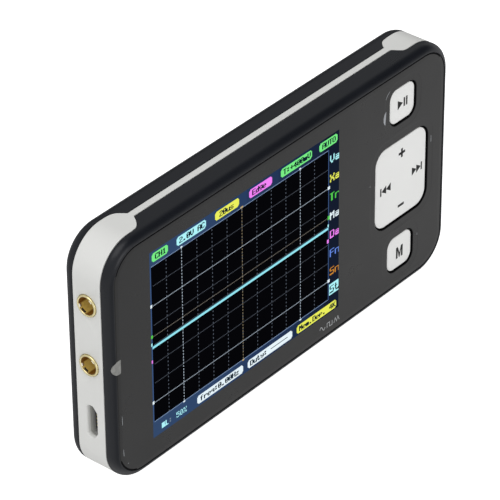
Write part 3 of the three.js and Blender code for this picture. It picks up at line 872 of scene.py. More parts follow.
# ------------------------------------------------------------------ lens
def screen_xz(c, r):
    """Where the corner of a display cell lies on the lens; the picture is slightly keystoned."""
    x = -40.6694 - 0.0008892 * r + (0.1778328 + 0.0000063 * r) * c
    z = 22.2126 - 0.0009162 * c - (0.18126 - 9.18e-7 * c) * r
    if r >= ROWS:
        z = max(z, -21.198 + 0.000396 * c)
    return x, z


# Outer edge: (inset beyond LENS_INSET, depth behind the front face)
LENS_RIM = [(1.25, 0.0), (1.10, 0.0), (0.98, 0.004), (0.86, 0.010), (0.36, 0.030),
            (0.26, 0.038), (0.17, 0.055), (0.10, 0.080), (0.05, 0.112), (0.0, 0.16),
            (0.0, LENS_THICK)]
# Dished surround of a key: (distance outside the key, depth behind the front face)
KEY_LIP = [(2.30, 0.0), (2.18, 0.0), (2.10, 0.002), (2.00, DISH * 0.5), (1.90, DISH - 0.002),
           (1.82, DISH), (0.62, DISH)]
for step in range(6):
    lip_angle = math.radians(18 * step)
    KEY_LIP.append((KEY_GAP + 0.16 * (1 - math.sin(lip_angle)),
                    DISH + 0.16 * (1 - math.cos(lip_angle))))
KEY_LIP.append((KEY_GAP, LENS_THICK))


def on_painted_shade_border(x, z):
    """Whether a rim face is on the dark line along the top and round the lower left corner, the
    painted shade of the groove round the lens.
    """
    from_x, from_z = abs(x) - CORNER_X, abs(z) - CORNER_Z
    to_end, to_side = LENGTH / 2 - abs(x), HEIGHT / 2 - abs(z)
    if from_x > 0 and from_z > 0:
        reach = math.hypot(from_x, from_z)
        inset = CORNER - reach
        out_x, out_z = from_x / reach, from_z / reach
    else:
        inset = min(to_end, to_side)
        out_x, out_z = (0.0, 1.0) if to_end > to_side else (1.0, 0.0)
    if inset > LENS_INSET + 0.34:
        return False
    out_x, out_z = math.copysign(out_x, x), math.copysign(out_z, z)
    return (out_z > 0.35 and out_x < 0.8) or (out_z < -0.3 and out_x < -0.25)


def build_lens():
    profile = [(LENS_INSET + inset, LENS_FRONT + depth) for inset, depth in LENS_RIM]
    corners = ((0, ROWS), (COLS, ROWS), (COLS, 0), (0, 0))
    window = [screen_xz(c, r) for c, r in corners]
    holes = [[at_y(window, LENS_FRONT), at_y(window, LENS_BACK)]]
    for key in KEYS:
        holes.append([at_y(key_outline(key, grow, 12), LENS_FRONT + depth)
                      for grow, depth in KEY_LIP])
    lens = stack_solid("lens_plate", sections(PLAIN_OUTLINE, profile), holes, sharp_deg=40.0)
    lens = cut(lens, guide_cutter("cut_d2", gap=0.05), sharp_deg=40.0)
    place(lens, "lens", "front_lens")
    # the walls of the key holes and the rim faces on the dark border take the near-black finish:
    # painted shade in the gaps round the keys and in the groove round the lens
    lens.data.materials.append(MATERIALS["lens_edge_painted_shade"])
    for face in lens.data.polygons:
        x, y, z = face.center / MM
        in_key_area = 26 < x < 46.5 and abs(z) < 23.4
        key_wall = in_key_area and y > LENS_FRONT + DISH + 0.03
        if key_wall or (y <= LENS_FRONT + 0.3 and on_painted_shade_border(x, z)):
            face.material_index = 1


build_lens()


# ------------------------------------------------------------------ keys
def key_surface(key):
    """The crowned face of a key, as y at (x, z)."""
    width, height, _ = KEYS[key]["size"]

    def y_at(x, z):
        u = max(0.0, 1 - (2 * (x - KEY_X) / width) ** 2)
        v = max(0.0, 1 - (2 * (z - KEYS[key]["z"]) / height) ** 2)
        return KEY_TOP - KEY_CROWN * u * v
    return y_at


def build_key(key):
    y_at = key_surface(key)
    flange_front, flange_back = KEYS[key]["flange"]
    flange_width = 0.9
    edge_radius = 0.08
    deepest = min(KEYS[key]["size"][:2]) / 2 - 0.5
    rows = []
    for inset in np.linspace(deepest, 0.45, 7):
        rows.append([(x, y_at(x, z), z) for x, z in key_outline(key, -float(inset))])
    for i in range(7):
        a = math.radians(15 * i)
        loop = key_outline(key, -edge_radius * (1 - math.sin(a)))
        y = KEY_TOP + edge_radius * (1 - math.cos(a))
        rows.append([(x, y if i else y_at(x, z), z) for x, z in loop])
    rows.append(at_y(key_outline(key, 0.0), flange_front))
    rows.append(at_y(key_outline(key, flange_width), flange_front))
    rows.append(at_y(key_outline(key, flange_width), flange_back))
    cap = stack_solid(key + "_cap", rows, sharp_deg=40.0)
    radius, y0, y1 = KEYS[key]["stem"]
    stem = lathe_y(key + "_stem", [(0, y0), (radius, y0), (radius, y1 - 0.08),
                                   (radius - 0.08, y1), (0, y1)], KEY_X, KEYS[key]["z"], 28)
    place(join(key + "_body", [cap, stem]), "key_white", key, body=key)


for key_name in KEYS:
    build_key(key_name)


# ------------------------------------------------------------------ symbols on the keys
def tri_right(x, z, width, height):
    return [(x, z - height / 2), (x + width, z), (x, z + height / 2)]


def tri_left(x, z, width, height):
    return [(x, z), (x + width, z - height / 2), (x + width, z + height / 2)]


def rect(x0, x1, z0, z1):
    return [(x0, z0), (x1, z0), (x1, z1), (x0, z1)]


def print_symbol(name, key, shapes):
    place(inlay(name, shapes, key_surface(key), thick=0.012, sink=0.03), "key_white",
          body=key, material="key_ink")


def letter_m(x, z, width, height, stem):
    """Outline of an M with its lower left corner at (x, z)."""
    mid, right = x + width / 2, x + width
    return [(x, z), (x + stem, z), (x + stem, z + height * 0.66), (mid - 0.14, z + 0.05),
            (mid + 0.14, z + 0.05), (right - stem, z + height * 0.66), (right - stem, z),
            (right, z), (right, z + height), (right - stem - 0.02, z + height),
            (mid, z + height * 0.42), (x + stem + 0.02, z + height), (x, z + height)]


def plus_sign(x, z, reach, half):
    return [(x - half, z - reach), (x + half, z - reach), (x + half, z - half),
            (x + reach, z - half), (x + reach, z + half), (x + half, z + half),
            (x + half, z + reach), (x - half, z + reach), (x - half, z + half),
            (x - reach, z + half), (x - reach, z - half), (x - half, z - half)]


PLAY_Z = KEYS["play_key"]["z"]
print_symbol("play_symbol", "play_key", [
    tri_right(35.49, PLAY_Z, 1.68, 2.15),
    rect(37.41, 37.89, *span(PLAY_Z, 1.05)), rect(38.21, 38.69, *span(PLAY_Z, 1.05))])
print_symbol("mode_symbol", "mode_key", [letter_m(35.94, -19.81, 2.25, 2.80, 0.56)])

SIGN_X = 37.25  # the plus above and the minus below the middle of the pad
SIGN_HALF = 0.29  # half the thickness of their strokes
ARROW_Z = -0.49
ARROW = (ARROW_Z, 1.50, 1.95)  # z, width, height
ARROW_BAR_Z = span(ARROW_Z, 0.95)
print_symbol("nav_symbols", "nav_pad", [
    plus_sign(SIGN_X, 5.94, 1.05, SIGN_HALF),
    rect(*span(SIGN_X, 1.0), *span(-6.81, SIGN_HALF)),
    rect(30.23, 30.63, *ARROW_BAR_Z), tri_left(30.69, *ARROW), tri_left(32.17, *ARROW),
    tri_right(40.76, *ARROW), tri_right(42.24, *ARROW), rect(43.77, 44.17, *ARROW_BAR_Z)])

# ------------------------------------------------------------------ marks on the lens
# Pale marks on the lens. The first two, beside the play key, are painted highlights along the edge
# of its dished surround; the others are small pale flecks.
GLINTS_AND_FLECKS = [  # outlines in (x, z)
    [(31.15, 15.5), (31.22, 16.4), (31.34, 17.5), (31.4, 18.7),
     (30.86, 18.2), (30.58, 17.4), (30.6, 16.5), (30.86, 15.9)],
    [(31.2, 21.5), (31.28, 21.5), (31.78, 22.3), (32.56, 22.9), (32.5, 22.94), (31.66, 22.36)],
    [(46.62, 4.1), (46.74, 4.1), (46.72, 5.6), (46.62, 5.6)],
    [(26.4, 3.0), (26.5, 3.0), (26.5, 3.22), (26.4, 3.22)],
    [(42.62, -17.0), (42.74, -17.0), (42.72, -16.5), (42.64, -16.5)],
    [(-48.4, -22.9), (-48.2, -22.95), (-48.24, -22.7)],
    [(-49.6, -12.9), (-49.52, -12.9), (-49.56, -10.8), (-49.64, -10.8)],
    [(-49.5, -20.4), (-49.36, -20.5), (-49.46, -19.2), (-49.56, -18.6)],
]
place(inlay("lens_glints_and_flecks", GLINTS_AND_FLECKS, lambda x, z: LENS_FRONT, thick=0.004), "lens",
      material="glint_and_fleck")

WAVE_X, WAVE_Z, WAVE_PITCH = 10.5, -23.9, 2.3
WAVE_LENGTH, WAVE_HALF = 1.7, 0.55
# Three small printed waves: (distance along, share of the half height)
WAVES = [
    [(WAVE_LENGTH * i / 16, math.sin(2 * math.pi * i / 16)) for i in range(17)],
    [(0, -1), (0.05, -1), (0.05, 1), (WAVE_LENGTH / 2, 1), (WAVE_LENGTH / 2, -1),
     (WAVE_LENGTH, -1), (WAVE_LENGTH, 0.9)],
    [(WAVE_LENGTH * i / 4, 1 if i % 2 else -1) for i in range(5)],
]


def stroke(points, width):
    """Outline of a line of the given width through the points, with mitred corners."""
    points = [Vector(p) for p in points]
    left, right = [], []
    for i, point in enumerate(points):
        before = (point - points[i - 1]).normalized() if i else None
        after = (points[i + 1] - point).normalized() if i + 1 < len(points) else None
        tangent = ((before or after) + (after or before)).normalized()
        normal = Vector((-tangent.y, tangent.x))
        along = before or after
        mitre = 1.0 / max(0.45, normal.dot(Vector((-along.y, along.x))))
        left.append(tuple(point + normal * width / 2 * mitre))
        right.append(tuple(point - normal * width / 2 * mitre))
    return left + right[::-1]


waves = [stroke([(WAVE_X + WAVE_PITCH * k + u, WAVE_Z + WAVE_HALF * v) for u, v in wave], 0.16)
         for k, wave in enumerate(WAVES)]
place(inlay("wave_glyphs", waves, lambda x, z: LENS_FRONT, thick=0.008), "lens",
      material="lens_ink")

# ------------------------------------------------------------------ display picture
PALETTE = {
    "black": (0, 0, 0), "green": (120, 238, 132), "cyan": (176, 246, 252),
    "yellow": (236, 240, 92), "magenta": (244, 132, 248), "white": (232, 246, 252),
    "text": (0, 6, 18), "text_soft": (18, 46, 62), "trace": (150, 232, 244),
    "trace_soft": (44, 92, 106), "dim": (84, 90, 100), "dots": (88, 96, 108),
    "cursor": (176, 190, 202), "cursor_soft": (112, 124, 142), "tan": (138, 126, 100),
    "ochre": (206, 170, 84), "warm": (132, 126, 116), "edge": (64, 92, 140),
    "edge_lit": (150, 172, 196), "blue": (104, 142, 236), "orange": (206, 136, 44),
    "mark_green": (84, 205, 76), "faint": (118, 136, 150),
}
# Background: (share of the way across, colour), laid in even steps
BAND = [(0.0, (50, 72, 106)), (0.3, (44, 67, 102)), (0.6, (34, 54, 88)), (0.86, (26, 42, 70)),
        (0.95, (19, 29, 49)), (1.0, (17, 26, 44))]
BAND_STEPS = 12
for i in range(BAND_STEPS):
    t = i / (BAND_STEPS - 1)
    k = next(j for j in range(1, len(BAND)) if t <= BAND[j][0])
    (t0, colour0), (t1, colour1) = BAND[k - 1], BAND[k]
    PALETTE[f"band{i}"] = tuple(round(a + (b - a) * (t - t0) / (t1 - t0))
                                for a, b in zip(colour0, colour1))
INK = {name: i for i, name in enumerate(PALETTE)}

FONT = {  # seven rows of five cells each
    "0": "01110 10001 10011 10101 11001 10001 01110",
    "1": "00100 01100 00100 00100 00100 00100 01110",
    "2": "01110 10001 00001 00110 01000 10000 11111",
    "4": "00010 00110 01010 10010 11111 00010 00010",
    "5": "11111 10000 11110 00001 00001 10001 01110",
    ".": "00000 00000 00000 00000 00000 01100 01100",
    ":": "00000 01100 01100 00000 01100 01100 00000",
    "+": "00000 00100 00100 11111 00100 00100 00000",
    "-": "00000 00000 00000 11111 00000 00000 00000",
    "%": "11001 11001 00010 00100 01000 10011 10011",
    "A": "01110 10001 10001 11111 10001 10001 10001",
    "B": "11110 10001 10001 11110 10001 10001 11110",
    "C": "01110 10001 10000 10000 10000 10001 01110",
    "D": "11110 10001 10001 10001 10001 10001 11110",
    "E": "11111 10000 10000 11110 10000 10000 11111",
    "F": "11111 10000 10000 11110 10000 10000 10000",
    "H": "10001 10001 10001 11111 10001 10001 10001",
    "K": "10001 10010 10100 11000 10100 10010 10001",
    "L": "10000 10000 10000 10000 10000 10000 11111",
    "M": "10001 11011 10101 10101 10001 10001 10001",
    "O": "01110 10001 10001 10001 10001 10001 01110",
    "S": "01111 10000 10000 01110 00001 00001 11110",
    "T": "11111 00100 00100 00100 00100 00100 00100",
    "U": "10001 10001 10001 10001 10001 10001 01110",
    "V": "10001 10001 10001 10001 10001 01010 00100",
    "X": "10001 10001 01010 00100 01010 10001 10001",
    "a": "00000 00000 01110 00001 01111 10001 01111",
    "d": "00001 00001 01101 10011 10001 10011 01101",
    "e": "00000 00000 01110 10001 11111 10000 01110",
    "f": "00110 01000 11100 01000 01000 01000 01000",
    "g": "00000 01111 10001 10001 01111 00001 01110",
    "m": "00000 00000 11010 10101 10101 10101 10101",
    "n": "00000 00000 11110 10001 10001 10001 10001",
    "p": "00000 00000 11110 10001 11110 10000 10000",
    "q": "00000 00000 01111 10001 01111 00001 00001",
    "r": "00000 00000 10110 11001 10000 10000 10000",
    "s": "00000 00000 01111 10000 01110 00001 11110",
    "t": "01000 01000 11100 01000 01000 01001 00110",
    "u": "00000 00000 10001 10001 10001 10011 01101",
    "y": "00000 00000 10001 10001 01111 00001 01110",
    "z": "00000 00000 11111 00010 00100 01000 11111",
    " ": " ".join(["00000"] * 7),
}
# Large letters repeat some of the font's rows and columns
LARGE_ROWS = (0, 1, 1, 2, 3, 4, 4, 5, 6, 6)
LARGE_COLS = (0, 1, 2, 2, 3, 3, 4)

cells = np.zeros((ROWS, COLS), dtype=np.int32)
for c in range(COLS):
    cells[:, c] = INK[f"band{min(BAND_STEPS - 1, c * BAND_STEPS // COLS)}"]


def fill(c0, r0, c1, r1, ink):
    cells[r0:r1, c0:c1] = INK[ink]


def pill(c0, r0, c1, r1, ink):
    for cut_in in (2, 1, 0):
        fill(c0 + cut_in, r0 + 2 - cut_in, c1 - cut_in, r1 - 2 + cut_in, ink)


def write(text, c, r, ink):
    for letter in text:
        for k, line in enumerate(FONT[letter].split()):
            for i, bit in enumerate(line):
                if bit == "1":
                    cells[r + k, c + i] = INK[ink]
        c += 6


def write_large(text, c, r, ink):
    for letter in text:
        lines = FONT[letter].split()
        for k, row in enumerate(LARGE_ROWS):
            for i, col in enumerate(LARGE_COLS):
                if lines[row][col] == "1":
                    cells[r + k, c + i: c + i + 2] = INK[ink]
        c += 9


def dashes(line, ink, on=1, off=1):
    for k, (r, c) in enumerate(line):
        if k % (on + off) < on:
            cells[r, c] = INK[ink]


# The graticule: first column and row of its frame, side of a square, width and height
GRID_C, GRID_R, SQUARE = 1, 18, 25
GRID_W, GRID_H = 12 * SQUARE, 8 * SQUARE
GRID_RIGHT, GRID_BOTTOM = GRID_C + GRID_W, GRID_R + GRID_H
CURSOR_COLS = (GRID_C + 2 * SQUARE, GRID_C + 10 * SQUARE)
CURSOR_ROWS = (GRID_R + 2 * SQUARE, GRID_R + 7 * SQUARE)
MIDDLE_C = GRID_C + GRID_W // 2


def across(r):
    return [(r, c) for c in range(GRID_C + 1, GRID_RIGHT)]


def down(c):
    return [(r, c) for r in range(GRID_R + 1, GRID_BOTTOM)]


def draw_graticule():
    fill(GRID_C, GRID_R, GRID_RIGHT + 1, GRID_BOTTOM + 1, "edge")
    fill(GRID_C + 1, GRID_R + 1, GRID_RIGHT, GRID_BOTTOM, "black")
    for c in range(GRID_C + SQUARE, GRID_RIGHT, SQUARE):
        dashes(down(c)[2:], "dots", 2, 3)
    for r in range(GRID_R + SQUARE, GRID_BOTTOM, SQUARE):
        dashes(across(r)[3:], "dim")
    dashes(across(107), "warm")
    for r in CURSOR_ROWS:
        dashes(across(r), "cursor")
    for c in CURSOR_COLS:
        dashes(down(c), "cursor", 2, 2)
    dashes(down(MIDDLE_C), "tan", 2, 2)
    fill(MIDDLE_C - 2, GRID_R - 1, MIDDLE_C + 3, GRID_R + 1, "ochre")
    fill(MIDDLE_C - 1, GRID_BOTTOM, MIDDLE_C + 2, GRID_BOTTOM + 2, "ochre")
    for r in (GRID_R, GRID_BOTTOM):
        dashes(across(r)[1:], "edge_lit")
    for c in CURSOR_COLS:  # white ends of the cursors
        fill(c - 1, GRID_R - 1, c + 2, GRID_R + 1, "white")
        fill(c - 1, GRID_BOTTOM, c + 2, GRID_BOTTOM + 2, "white")
    for r in CURSOR_ROWS:
        fill(0, r - 2, GRID_C + 2, r + 2, "white")
        fill(GRID_RIGHT - 1, r - 2, GRID_RIGHT + 3, r + 2, "white")


# Marks beside the graticule: first column and row, last column and row, ink
SIDE_MARKS = [
    (0, 105, 3, 109, "mark_green"), (300, 105, 304, 110, "mark_green"),
    (0, 115, 2, 119, "cyan"), (300, 116, 302, 120, "cyan"),
    (0, 137, 2, 141, "magenta"), (299, 136, 302, 141, "magenta"),
]
# Labels by their top row: first column, last column, ink, text, column of the text
LABELS = {
    3: [(4, 30, "green", "CH1", 9), (44, 92, "cyan", "2.0V AC", 48),
        (107, 147, "yellow", "20us", 114), (164, 203, "magenta", "Edge", 169),
        (218, 272, "green", "T:+400mV", 222), (285, 317, "green", "AUTO", 290)],
    225: [(73, 151, "white", "freq:0.00Hz", 78), (159, 237, "white", "Duty: -----", 163),
          (245, 316, "yellow", "Mem.Dep. 4K", 249)],
}
# Short codes for the settings down the right side; the last one, "St", is picked out
CODES = [("cyan", "Va"), ("yellow", "Xa"), ("mark_green", "Tr"), ("white", "Ma"),
         ("magenta", "Da"), ("blue", "Fn"), ("orange", "Sn")]

draw_graticule()
for mark in SIDE_MARKS:
    fill(*mark)
fill(GRID_C + 1, 120, GRID_RIGHT, 123, "trace")
fill(GRID_C + 1, 119, GRID_RIGHT, 120, "trace_soft")
for row, labels in LABELS.items():
    for c0, c1, ink, text, text_c in labels:
        pill(c0, row, c1, row + 11, ink)
        write(text, text_c + 1, row + 2, "text_soft")
        write(text, text_c, row + 2, "text")

# backlight level
fill(14, 227, 23, 234, "cyan")
write("BL", 14, 227, "cyan")
fill(19, 227, 20, 232, "band1")
fill(22, 227, 24, 232, "band1")
fill(27, 228, 29, 230, "faint")
fill(27, 231, 29, 233, "faint")
write("50%", 38, 227, "cyan")

for k, (ink, text) in enumerate(CODES):
    write_large(text, 304, 27 + 25 * k, ink)
fill(303, 199, 320, 214, "cyan")
write_large("St", 304, 202, "text")


def build_picture():
    """The lit picture as one closed tile, its grid lines only where some cell changes colour."""
    front, inset = LENS_FRONT + 0.004, 0.01
    cols = [0] + [c for c in range(1, COLS) if (cells[:, c] != cells[:, c - 1]).any()] + [COLS]
    rows = [0] + [r for r in range(1, ROWS) if (cells[r] != cells[r - 1]).any()] + [ROWS]
    wide, high = len(cols), len(rows)
    inset_x = {0: inset, COLS: -inset}
    inset_z = {0: -inset, ROWS: inset}
    verts = []
    for r in rows:
        for c in cols:
            x, z = screen_xz(c, r)
            verts.append((x + inset_x.get(c, 0.0), front, z + inset_z.get(r, 0.0)))
    faces, inks = [], []
    for j in range(high - 1):
        for i in range(wide - 1):
            a, b = j * wide + i, (j + 1) * wide + i
            faces.append((a, b, b + 1, a + 1))
            inks.append(int(cells[rows[j], cols[i]]))
    border = list(range(wide)) + [j * wide + wide - 1 for j in range(1, high)]
    border += [(high - 1) * wide + i for i in range(wide - 2, -1, -1)]
    border += [j * wide for j in range(high - 2, 0, -1)]
    base, n = len(verts), len(border)
    verts += [(verts[b][0], LENS_BACK, verts[b][2]) for b in border]
    for k in range(n):
        q = (k + 1) % n
        faces.append((border[k], border[q], base + q, base + k))
    faces.append(tuple(base + k for k in range(n))[::-1])
    inks += [INK["black"]] * (n + 1)
    mesh = raw_mesh("display_picture", verts, faces)
    for name, rgb in PALETTE.items():
        mesh.materials.append(lit("pixel_" + name, rgb))
    mesh.polygons.foreach_set("material_index", np.array(inks, dtype=np.int32))
    mesh.update()
    picture = link_object("display_picture", mesh)
    bm = bmesh.new()
    bm.from_mesh(mesh)
    bmesh.ops.recalc_face_normals(bm, faces=bm.faces)
    bm.to_mesh(mesh)
    bm.free()
    attach(picture, "display_glass", "front_lens")


build_picture()

# ------------------------------------------------------------------ coaxial sockets
# Profiles: (x, radius); the mouth is at the left
BARREL = [(-49.0, 2.34), (-52.36, 2.34), (-52.48, 2.31), (-52.54, 2.25), (-52.56, 2.18),
          (-52.56, 2.06), (-52.53, 1.98), (-52.46, 1.93), (-52.34, 1.91), (-52.2, 1.90),
          (-49.0, 1.90)]
BORE = [(-47.4, 1.95), (-60.0, 1.95)]
SLEEVE = [(-48.6, 1.89), (-52.30, 1.89), (-52.38, 1.87), (-52.40, 1.83), (-52.36, 1.79),
          (-52.26, 1.77), (-48.6, 1.77)]
# a thin black strip on the sleeve's wall: painted shade standing in for a slit
SLIT_SHADE = [(-51.98, 1.80), (-52.36, 1.82), (-52.36, 1.74), (-51.98, 1.72)]
DIMPLE = [(-51.95, 1.86), (-52.46, 1.88), (-52.53, 1.84), (-52.53, 1.72), (-52.44, 1.62),
          (-52.2, 1.58), (-51.98, 1.66)]
INSULATOR = [(-47.45, 1.82), (-48.9, 1.40), (-49.0, 1.30), (-49.0, 0.52), (-47.45, 0.52)]
CONTACT = [(-46.4, 0.42), (-50.7, 0.42), (-50.82, 0.38), (-50.85, 0.32), (-50.8, 0.26),
           (-50.5, 0.23), (-47.2, 0.23), (-47.2, 0.05), (-46.4, 0.05)]


def build_socket(which, z):
    block = soft_box(f"{which}_block", (-49.3, -46.25), span(PORT_Y, 2.7), span(z, 2.85), 0.15)
    block = cut(block, lathe_x("cut_bore", BORE, z, 48, ring=False))
    # a sleeve lines the bore; near its mouth a thin black strip paints the shade of a slit, and
    # two pressed dimples in near-white plating paint in their glints
    pieces = [
        dress(lathe_x(f"{which}_barrel", BARREL, z, 64), "gold"),
        dress(block, "gold"),
        dress(lathe_x(f"{which}_sleeve", SLEEVE, z, 64), "gold_bore"),
        dress(lathe_x(f"{which}_slit", SLIT_SHADE, z, 10, start=-76, end=-42), "black_plastic"),
    ]
    for start, end in ((-27, -5), (118, 142)):
        dimple = lathe_x(f"{which}_dimple{start}", DIMPLE, z, 8, start=start, end=end)
        pieces.append(dress(dimple, "gold_pale"))
    for pin_z in (-2.3, 2.3):
        for pin_y in (-1.35, 0.66):
            pin = soft_box(f"{which}_pin{pin_z}{pin_y}", (-46.4, -44.3),
                           (PORT_Y + pin_y, PORT_Y + pin_y + 0.69), span(z + pin_z, 0.4), 0.05)
            pieces.append(dress(pin, "gold"))
    attach(join(f"{which}_socket_shell", pieces), "gold", f"{which}_jack_shell")
    place(lathe_x(f"{which}_socket_insulator", INSULATOR, z, 40), "ptfe",
          f"{which}_jack_insulator")
    place(lathe_x(f"{which}_socket_contact", CONTACT, z, 28), "gold", f"{which}_jack_contact")


for jack, jack_z in JACK_Z.items():
    build_socket(jack, jack_z)

# ------------------------------------------------------------------ charging socket
# Closed profile: x, width along Z, height along Y, front corner cut
USB_CAN = [
    (-51.45, 7.44, 2.40, 0.97), (-51.5, 7.42, 2.38, 0.96), (-51.5, 7.34, 2.30, 0.93),
    (-51.4, 7.2, 2.2, 0.88), (-46.0, 7.2, 2.2, 0.88), (-46.0, 0.3, 0.3, 0.05),
    (-45.4, 0.3, 0.3, 0.05), (-45.4, 7.7, 2.7, 1.0), (-50.4, 7.7, 2.7, 1.0),
    (-50.45, 7.44, 2.40, 0.97),
]
LEAF_PITCH = 0.8125
place(usb_stack("usb_can_raw", USB_CAN, ring=True), "steel", "usb_shell", material="nickel")


def build_usb_tongue():
    bar = soft_box("usb_tongue_bar", (-50.75, -46.05), (USB_Y - 0.1, USB_Y + 0.5),
                   span(USB_Z, 2.4), 0.08)
    pieces = [dress(bar, "black_plastic")]
    for k in range(5):
        leaf = soft_box(f"leaf{k}", (-50.8, -46.2), (USB_Y - 0.17, USB_Y + 0.2),
                        span(USB_Z + (k - 2) * LEAF_PITCH, 0.17), 0.03, segments=1)
        pieces.append(dress(leaf, "contact"))
    attach(join("usb_tongue_body", pieces), "black_plastic", "usb_tongue")


build_usb_tongue()

# ------------------------------------------------------------------ power switch knob
RIB_PITCH = 0.68
knob = [soft_box("knob_core", (46.4, 50.3), span(KNOB_Y, 0.65), span(KNOB_Z, 1.3), 0.08),
        soft_box("knob_head", (50.0, 52.5), span(KNOB_Y, 0.95), span(KNOB_Z, 1.4), 0.1)]
for k in range(4):
    knob.append(soft_box(f"rib{k}", (52.3, 52.68), span(KNOB_Y, 0.85),
                         span(KNOB_Z + RIB_PITCH * (k - 1.5), 0.16), 0.09))
place(join("power_knob_body", knob), "key_white", "power_knob", body="power_knob")

# ------------------------------------------------------------------ screws
# Profile from the tip to the head: (radius, y)
SCREW = [(0, -9.9), (0.35, -9.9), (0.9, -9.3), (0.95, -9.1), (0.95, -1.19), (1.82, -1.19),
         (1.86, -1.12), (1.84, -0.86), (1.70, -0.64), (1.42, -0.46), (1.05, -0.37),
         (0.6, -0.34), (0, -0.335)]
for corner, (x, z) in SCREWS.items():
    screw = lathe_y(f"case_screw_{corner}", SCREW, x, z, 40)
    for half_x, half_z in ((0.95, 0.19), (0.19, 0.95)):  # the two arms of the cross recess
        screw = cut(screw, stack_solid("cut_cross", [
            at_y(rect(*span(x, half_x * 0.7), *span(z, half_z * 0.7)), -1.05),
            at_y(rect(*span(x, half_x), *span(z, half_z)), -0.2)]))
    place(screw, "screw_black", f"screw_{corner}")

# ------------------------------------------------------------------ the carried-over solids
slot_of = {part["node"]: part["material_slot"] for part in frame["record"]["subparts"]}
for name, obj in frame["nodes"].items():
    material = MATERIALS[slot_of[name]]
    if not obj.material_slots:
        obj.data.materials.append(material)
    for slot in obj.material_slots:
        slot.material = material


# ------------------------------------------------------------------ studio
def cone(tree, vector, direction, start, full, outside, inside):
    """outside away from a direction, easing to inside round it; start and full are cosines."""
    along = dot_product(tree, vector, Vector(direction).normalized())
    return remap(tree, along, outside, inside, start=start, end=full, smooth=True)


# Dark cards on the sweep, seen only in reflections: direction, cosines at rim and at full dark
FLOOR_CARDS = [
    ((0.631, 0.533, -0.5635), 0.60, 0.93),
    ((0.05, -0.82, -0.56), 0.80, 0.97),
    ((0.0, 0.83, -0.56), 0.62, 0.90),
    ((0.63, 0.75, -0.12), 0.72, 0.93),
]


def build_floor():
    """A pale sweep that reads as plain white to the camera."""
    bpy.ops.mesh.primitive_plane_add(size=6.0, location=(0, 0, -HEIGHT / 2 * MM - 0.00002))
    floor = bpy.context.object
    floor.name = "studio_floor"
    material, tree, bsdf = node_material("floor_pale")
    path = add_node(tree, "LightPath")
    incoming = add_node(tree, "NewGeometry").outputs["Incoming"]
    cards = None
    for direction, start, full in FLOOR_CARDS:
        # Incoming points back along the ray, so the direction is turned round
        card = cone(tree, incoming, -Vector(direction), start, full, 1.0, 0.05)
        cards = math_node(tree, "MULTIPLY", cards, card) if cards else card
    in_reflections = math_node(tree, "MULTIPLY", cards, 0.46)
    unseen = mix_value(tree, path.outputs["Is Glossy Ray"], 0.38, in_reflections)
    feed(tree, bsdf, {
        "Base Color": (0.55, 0.55, 0.55, 1),
        "Roughness": 0.9,
        "Specular IOR Level": 0.0,
        "Emission Color": (1, 1, 1, 1),
        "Emission Strength": mix_value(tree, path.outputs["Is Camera Ray"], unseen, 0.97),
    })
    material.cycles.emission_sampling = "NONE"
    floor.data.materials.append(material)


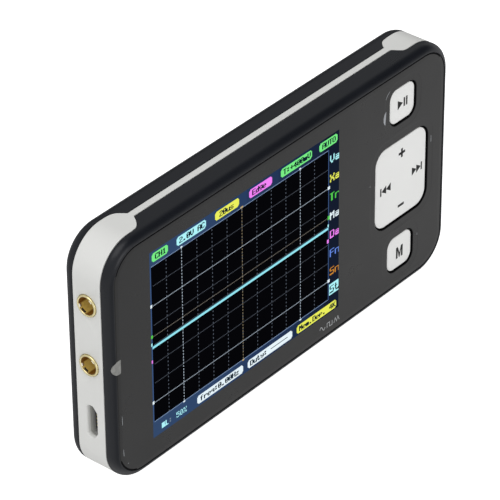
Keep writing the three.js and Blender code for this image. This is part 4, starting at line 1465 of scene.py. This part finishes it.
def build_world():
    world = bpy.data.worlds.new("studio")
    bpy.context.scene.world = world
    world.use_nodes = True
    tree = world.node_tree
    tree.nodes.clear()
    out = add_node(tree, "OutputWorld")
    around = add_node(tree, "TexCoord").outputs["Generated"]

    def dimmed(direction, start, full, inside):
        """1 away from a direction, falling to inside at its middle."""
        lobe = cone(tree, around, direction, start, full, 0.0, 1.0)
        return remap(tree, lobe, 1.0, inside, start=0.0, end=1.0)

    # a dark card in front, up and to the right, mirrored in the rolled top edge
    flag = dimmed((0.631, -0.452, 0.615), 0.68, 0.975, 0.02)
    # a dimmer backdrop up behind, mirrored in the top
    backdrop = dimmed((0.45, 0.75, 0.45), 0.2, 0.9, 0.62)
    # low behind, mirrored in the rolled rear edge
    low = dimmed((0.63, 0.77, -0.10), 0.78, 0.96, 0.15)
    behind = math_node(tree, "MULTIPLY", backdrop, low)
    strength = math_node(tree, "MULTIPLY", math_node(tree, "MULTIPLY", flag, behind), 0.80)
    to_camera = add_node(tree, "LightPath").outputs["Is Camera Ray"]
    background = add_node(tree, "Background", {
        "Color": (0.985, 0.992, 1.0, 1),
        "Strength": mix_value(tree, to_camera, strength, 1.0),
    })
    tree.links.new(background.outputs[0], out.inputs[0])


def area_light(name, location, size, power):
    """A rectangular light aimed at the origin; location and size are in metres."""
    data = bpy.data.lights.new(name, "AREA")
    data.shape = "RECTANGLE"
    data.size, data.size_y = size
    data.energy = power
    light = link_object(name, data)
    light.location = location
    light.rotation_euler = (-Vector(location)).to_track_quat("-Z", "Y").to_euler()


build_floor()
build_world()
area_light("soft_top", location=(-0.20, -0.10, 0.60), size=(0.55, 0.45), power=1.5)
area_light("soft_front", location=(0.05, -0.75, 0.05), size=(0.40, 0.40), power=1.2)

view = bpy.context.scene.view_settings
view.view_transform = "Standard"
view.look = "None"
view.exposure = 0.0
view.gamma = 1.0

# ------------------------------------------------------------------ camera
AZIMUTH = math.radians(-49.7866)
ELEVATION = math.radians(34.3003)
ROLL = math.radians(-0.4544)
DISTANCE = 683.638
SHIFT_RIGHT, SHIFT_UP = 2.78955, 0.81638  # of the case's middle in the view
FOCAL_LENGTH, SENSOR_WIDTH = 246.94632, 36.0


def build_camera():
    back = Vector((math.sin(AZIMUTH) * math.cos(ELEVATION),
                   -math.cos(AZIMUTH) * math.cos(ELEVATION), math.sin(ELEVATION)))
    level = Vector((math.cos(AZIMUTH), math.sin(AZIMUTH), 0.0))
    upright = back.cross(level)
    right = level * math.cos(ROLL) + upright * math.sin(ROLL)
    up = upright * math.cos(ROLL) - level * math.sin(ROLL)
    middle = Vector((0, -THICK / 2, 0))
    position = middle + back * DISTANCE - right * SHIFT_RIGHT - up * SHIFT_UP
    data = bpy.data.cameras.new("camera")
    data.sensor_width = SENSOR_WIDTH
    data.lens = FOCAL_LENGTH
    data.clip_start = 0.01
    camera = link_object("camera", data)
    rows = [(right[i], up[i], back[i], position[i] * MM) for i in range(3)]
    camera.matrix_world = Matrix((*rows, (0, 0, 0, 1)))
    bpy.context.scene.camera = camera


build_camera()
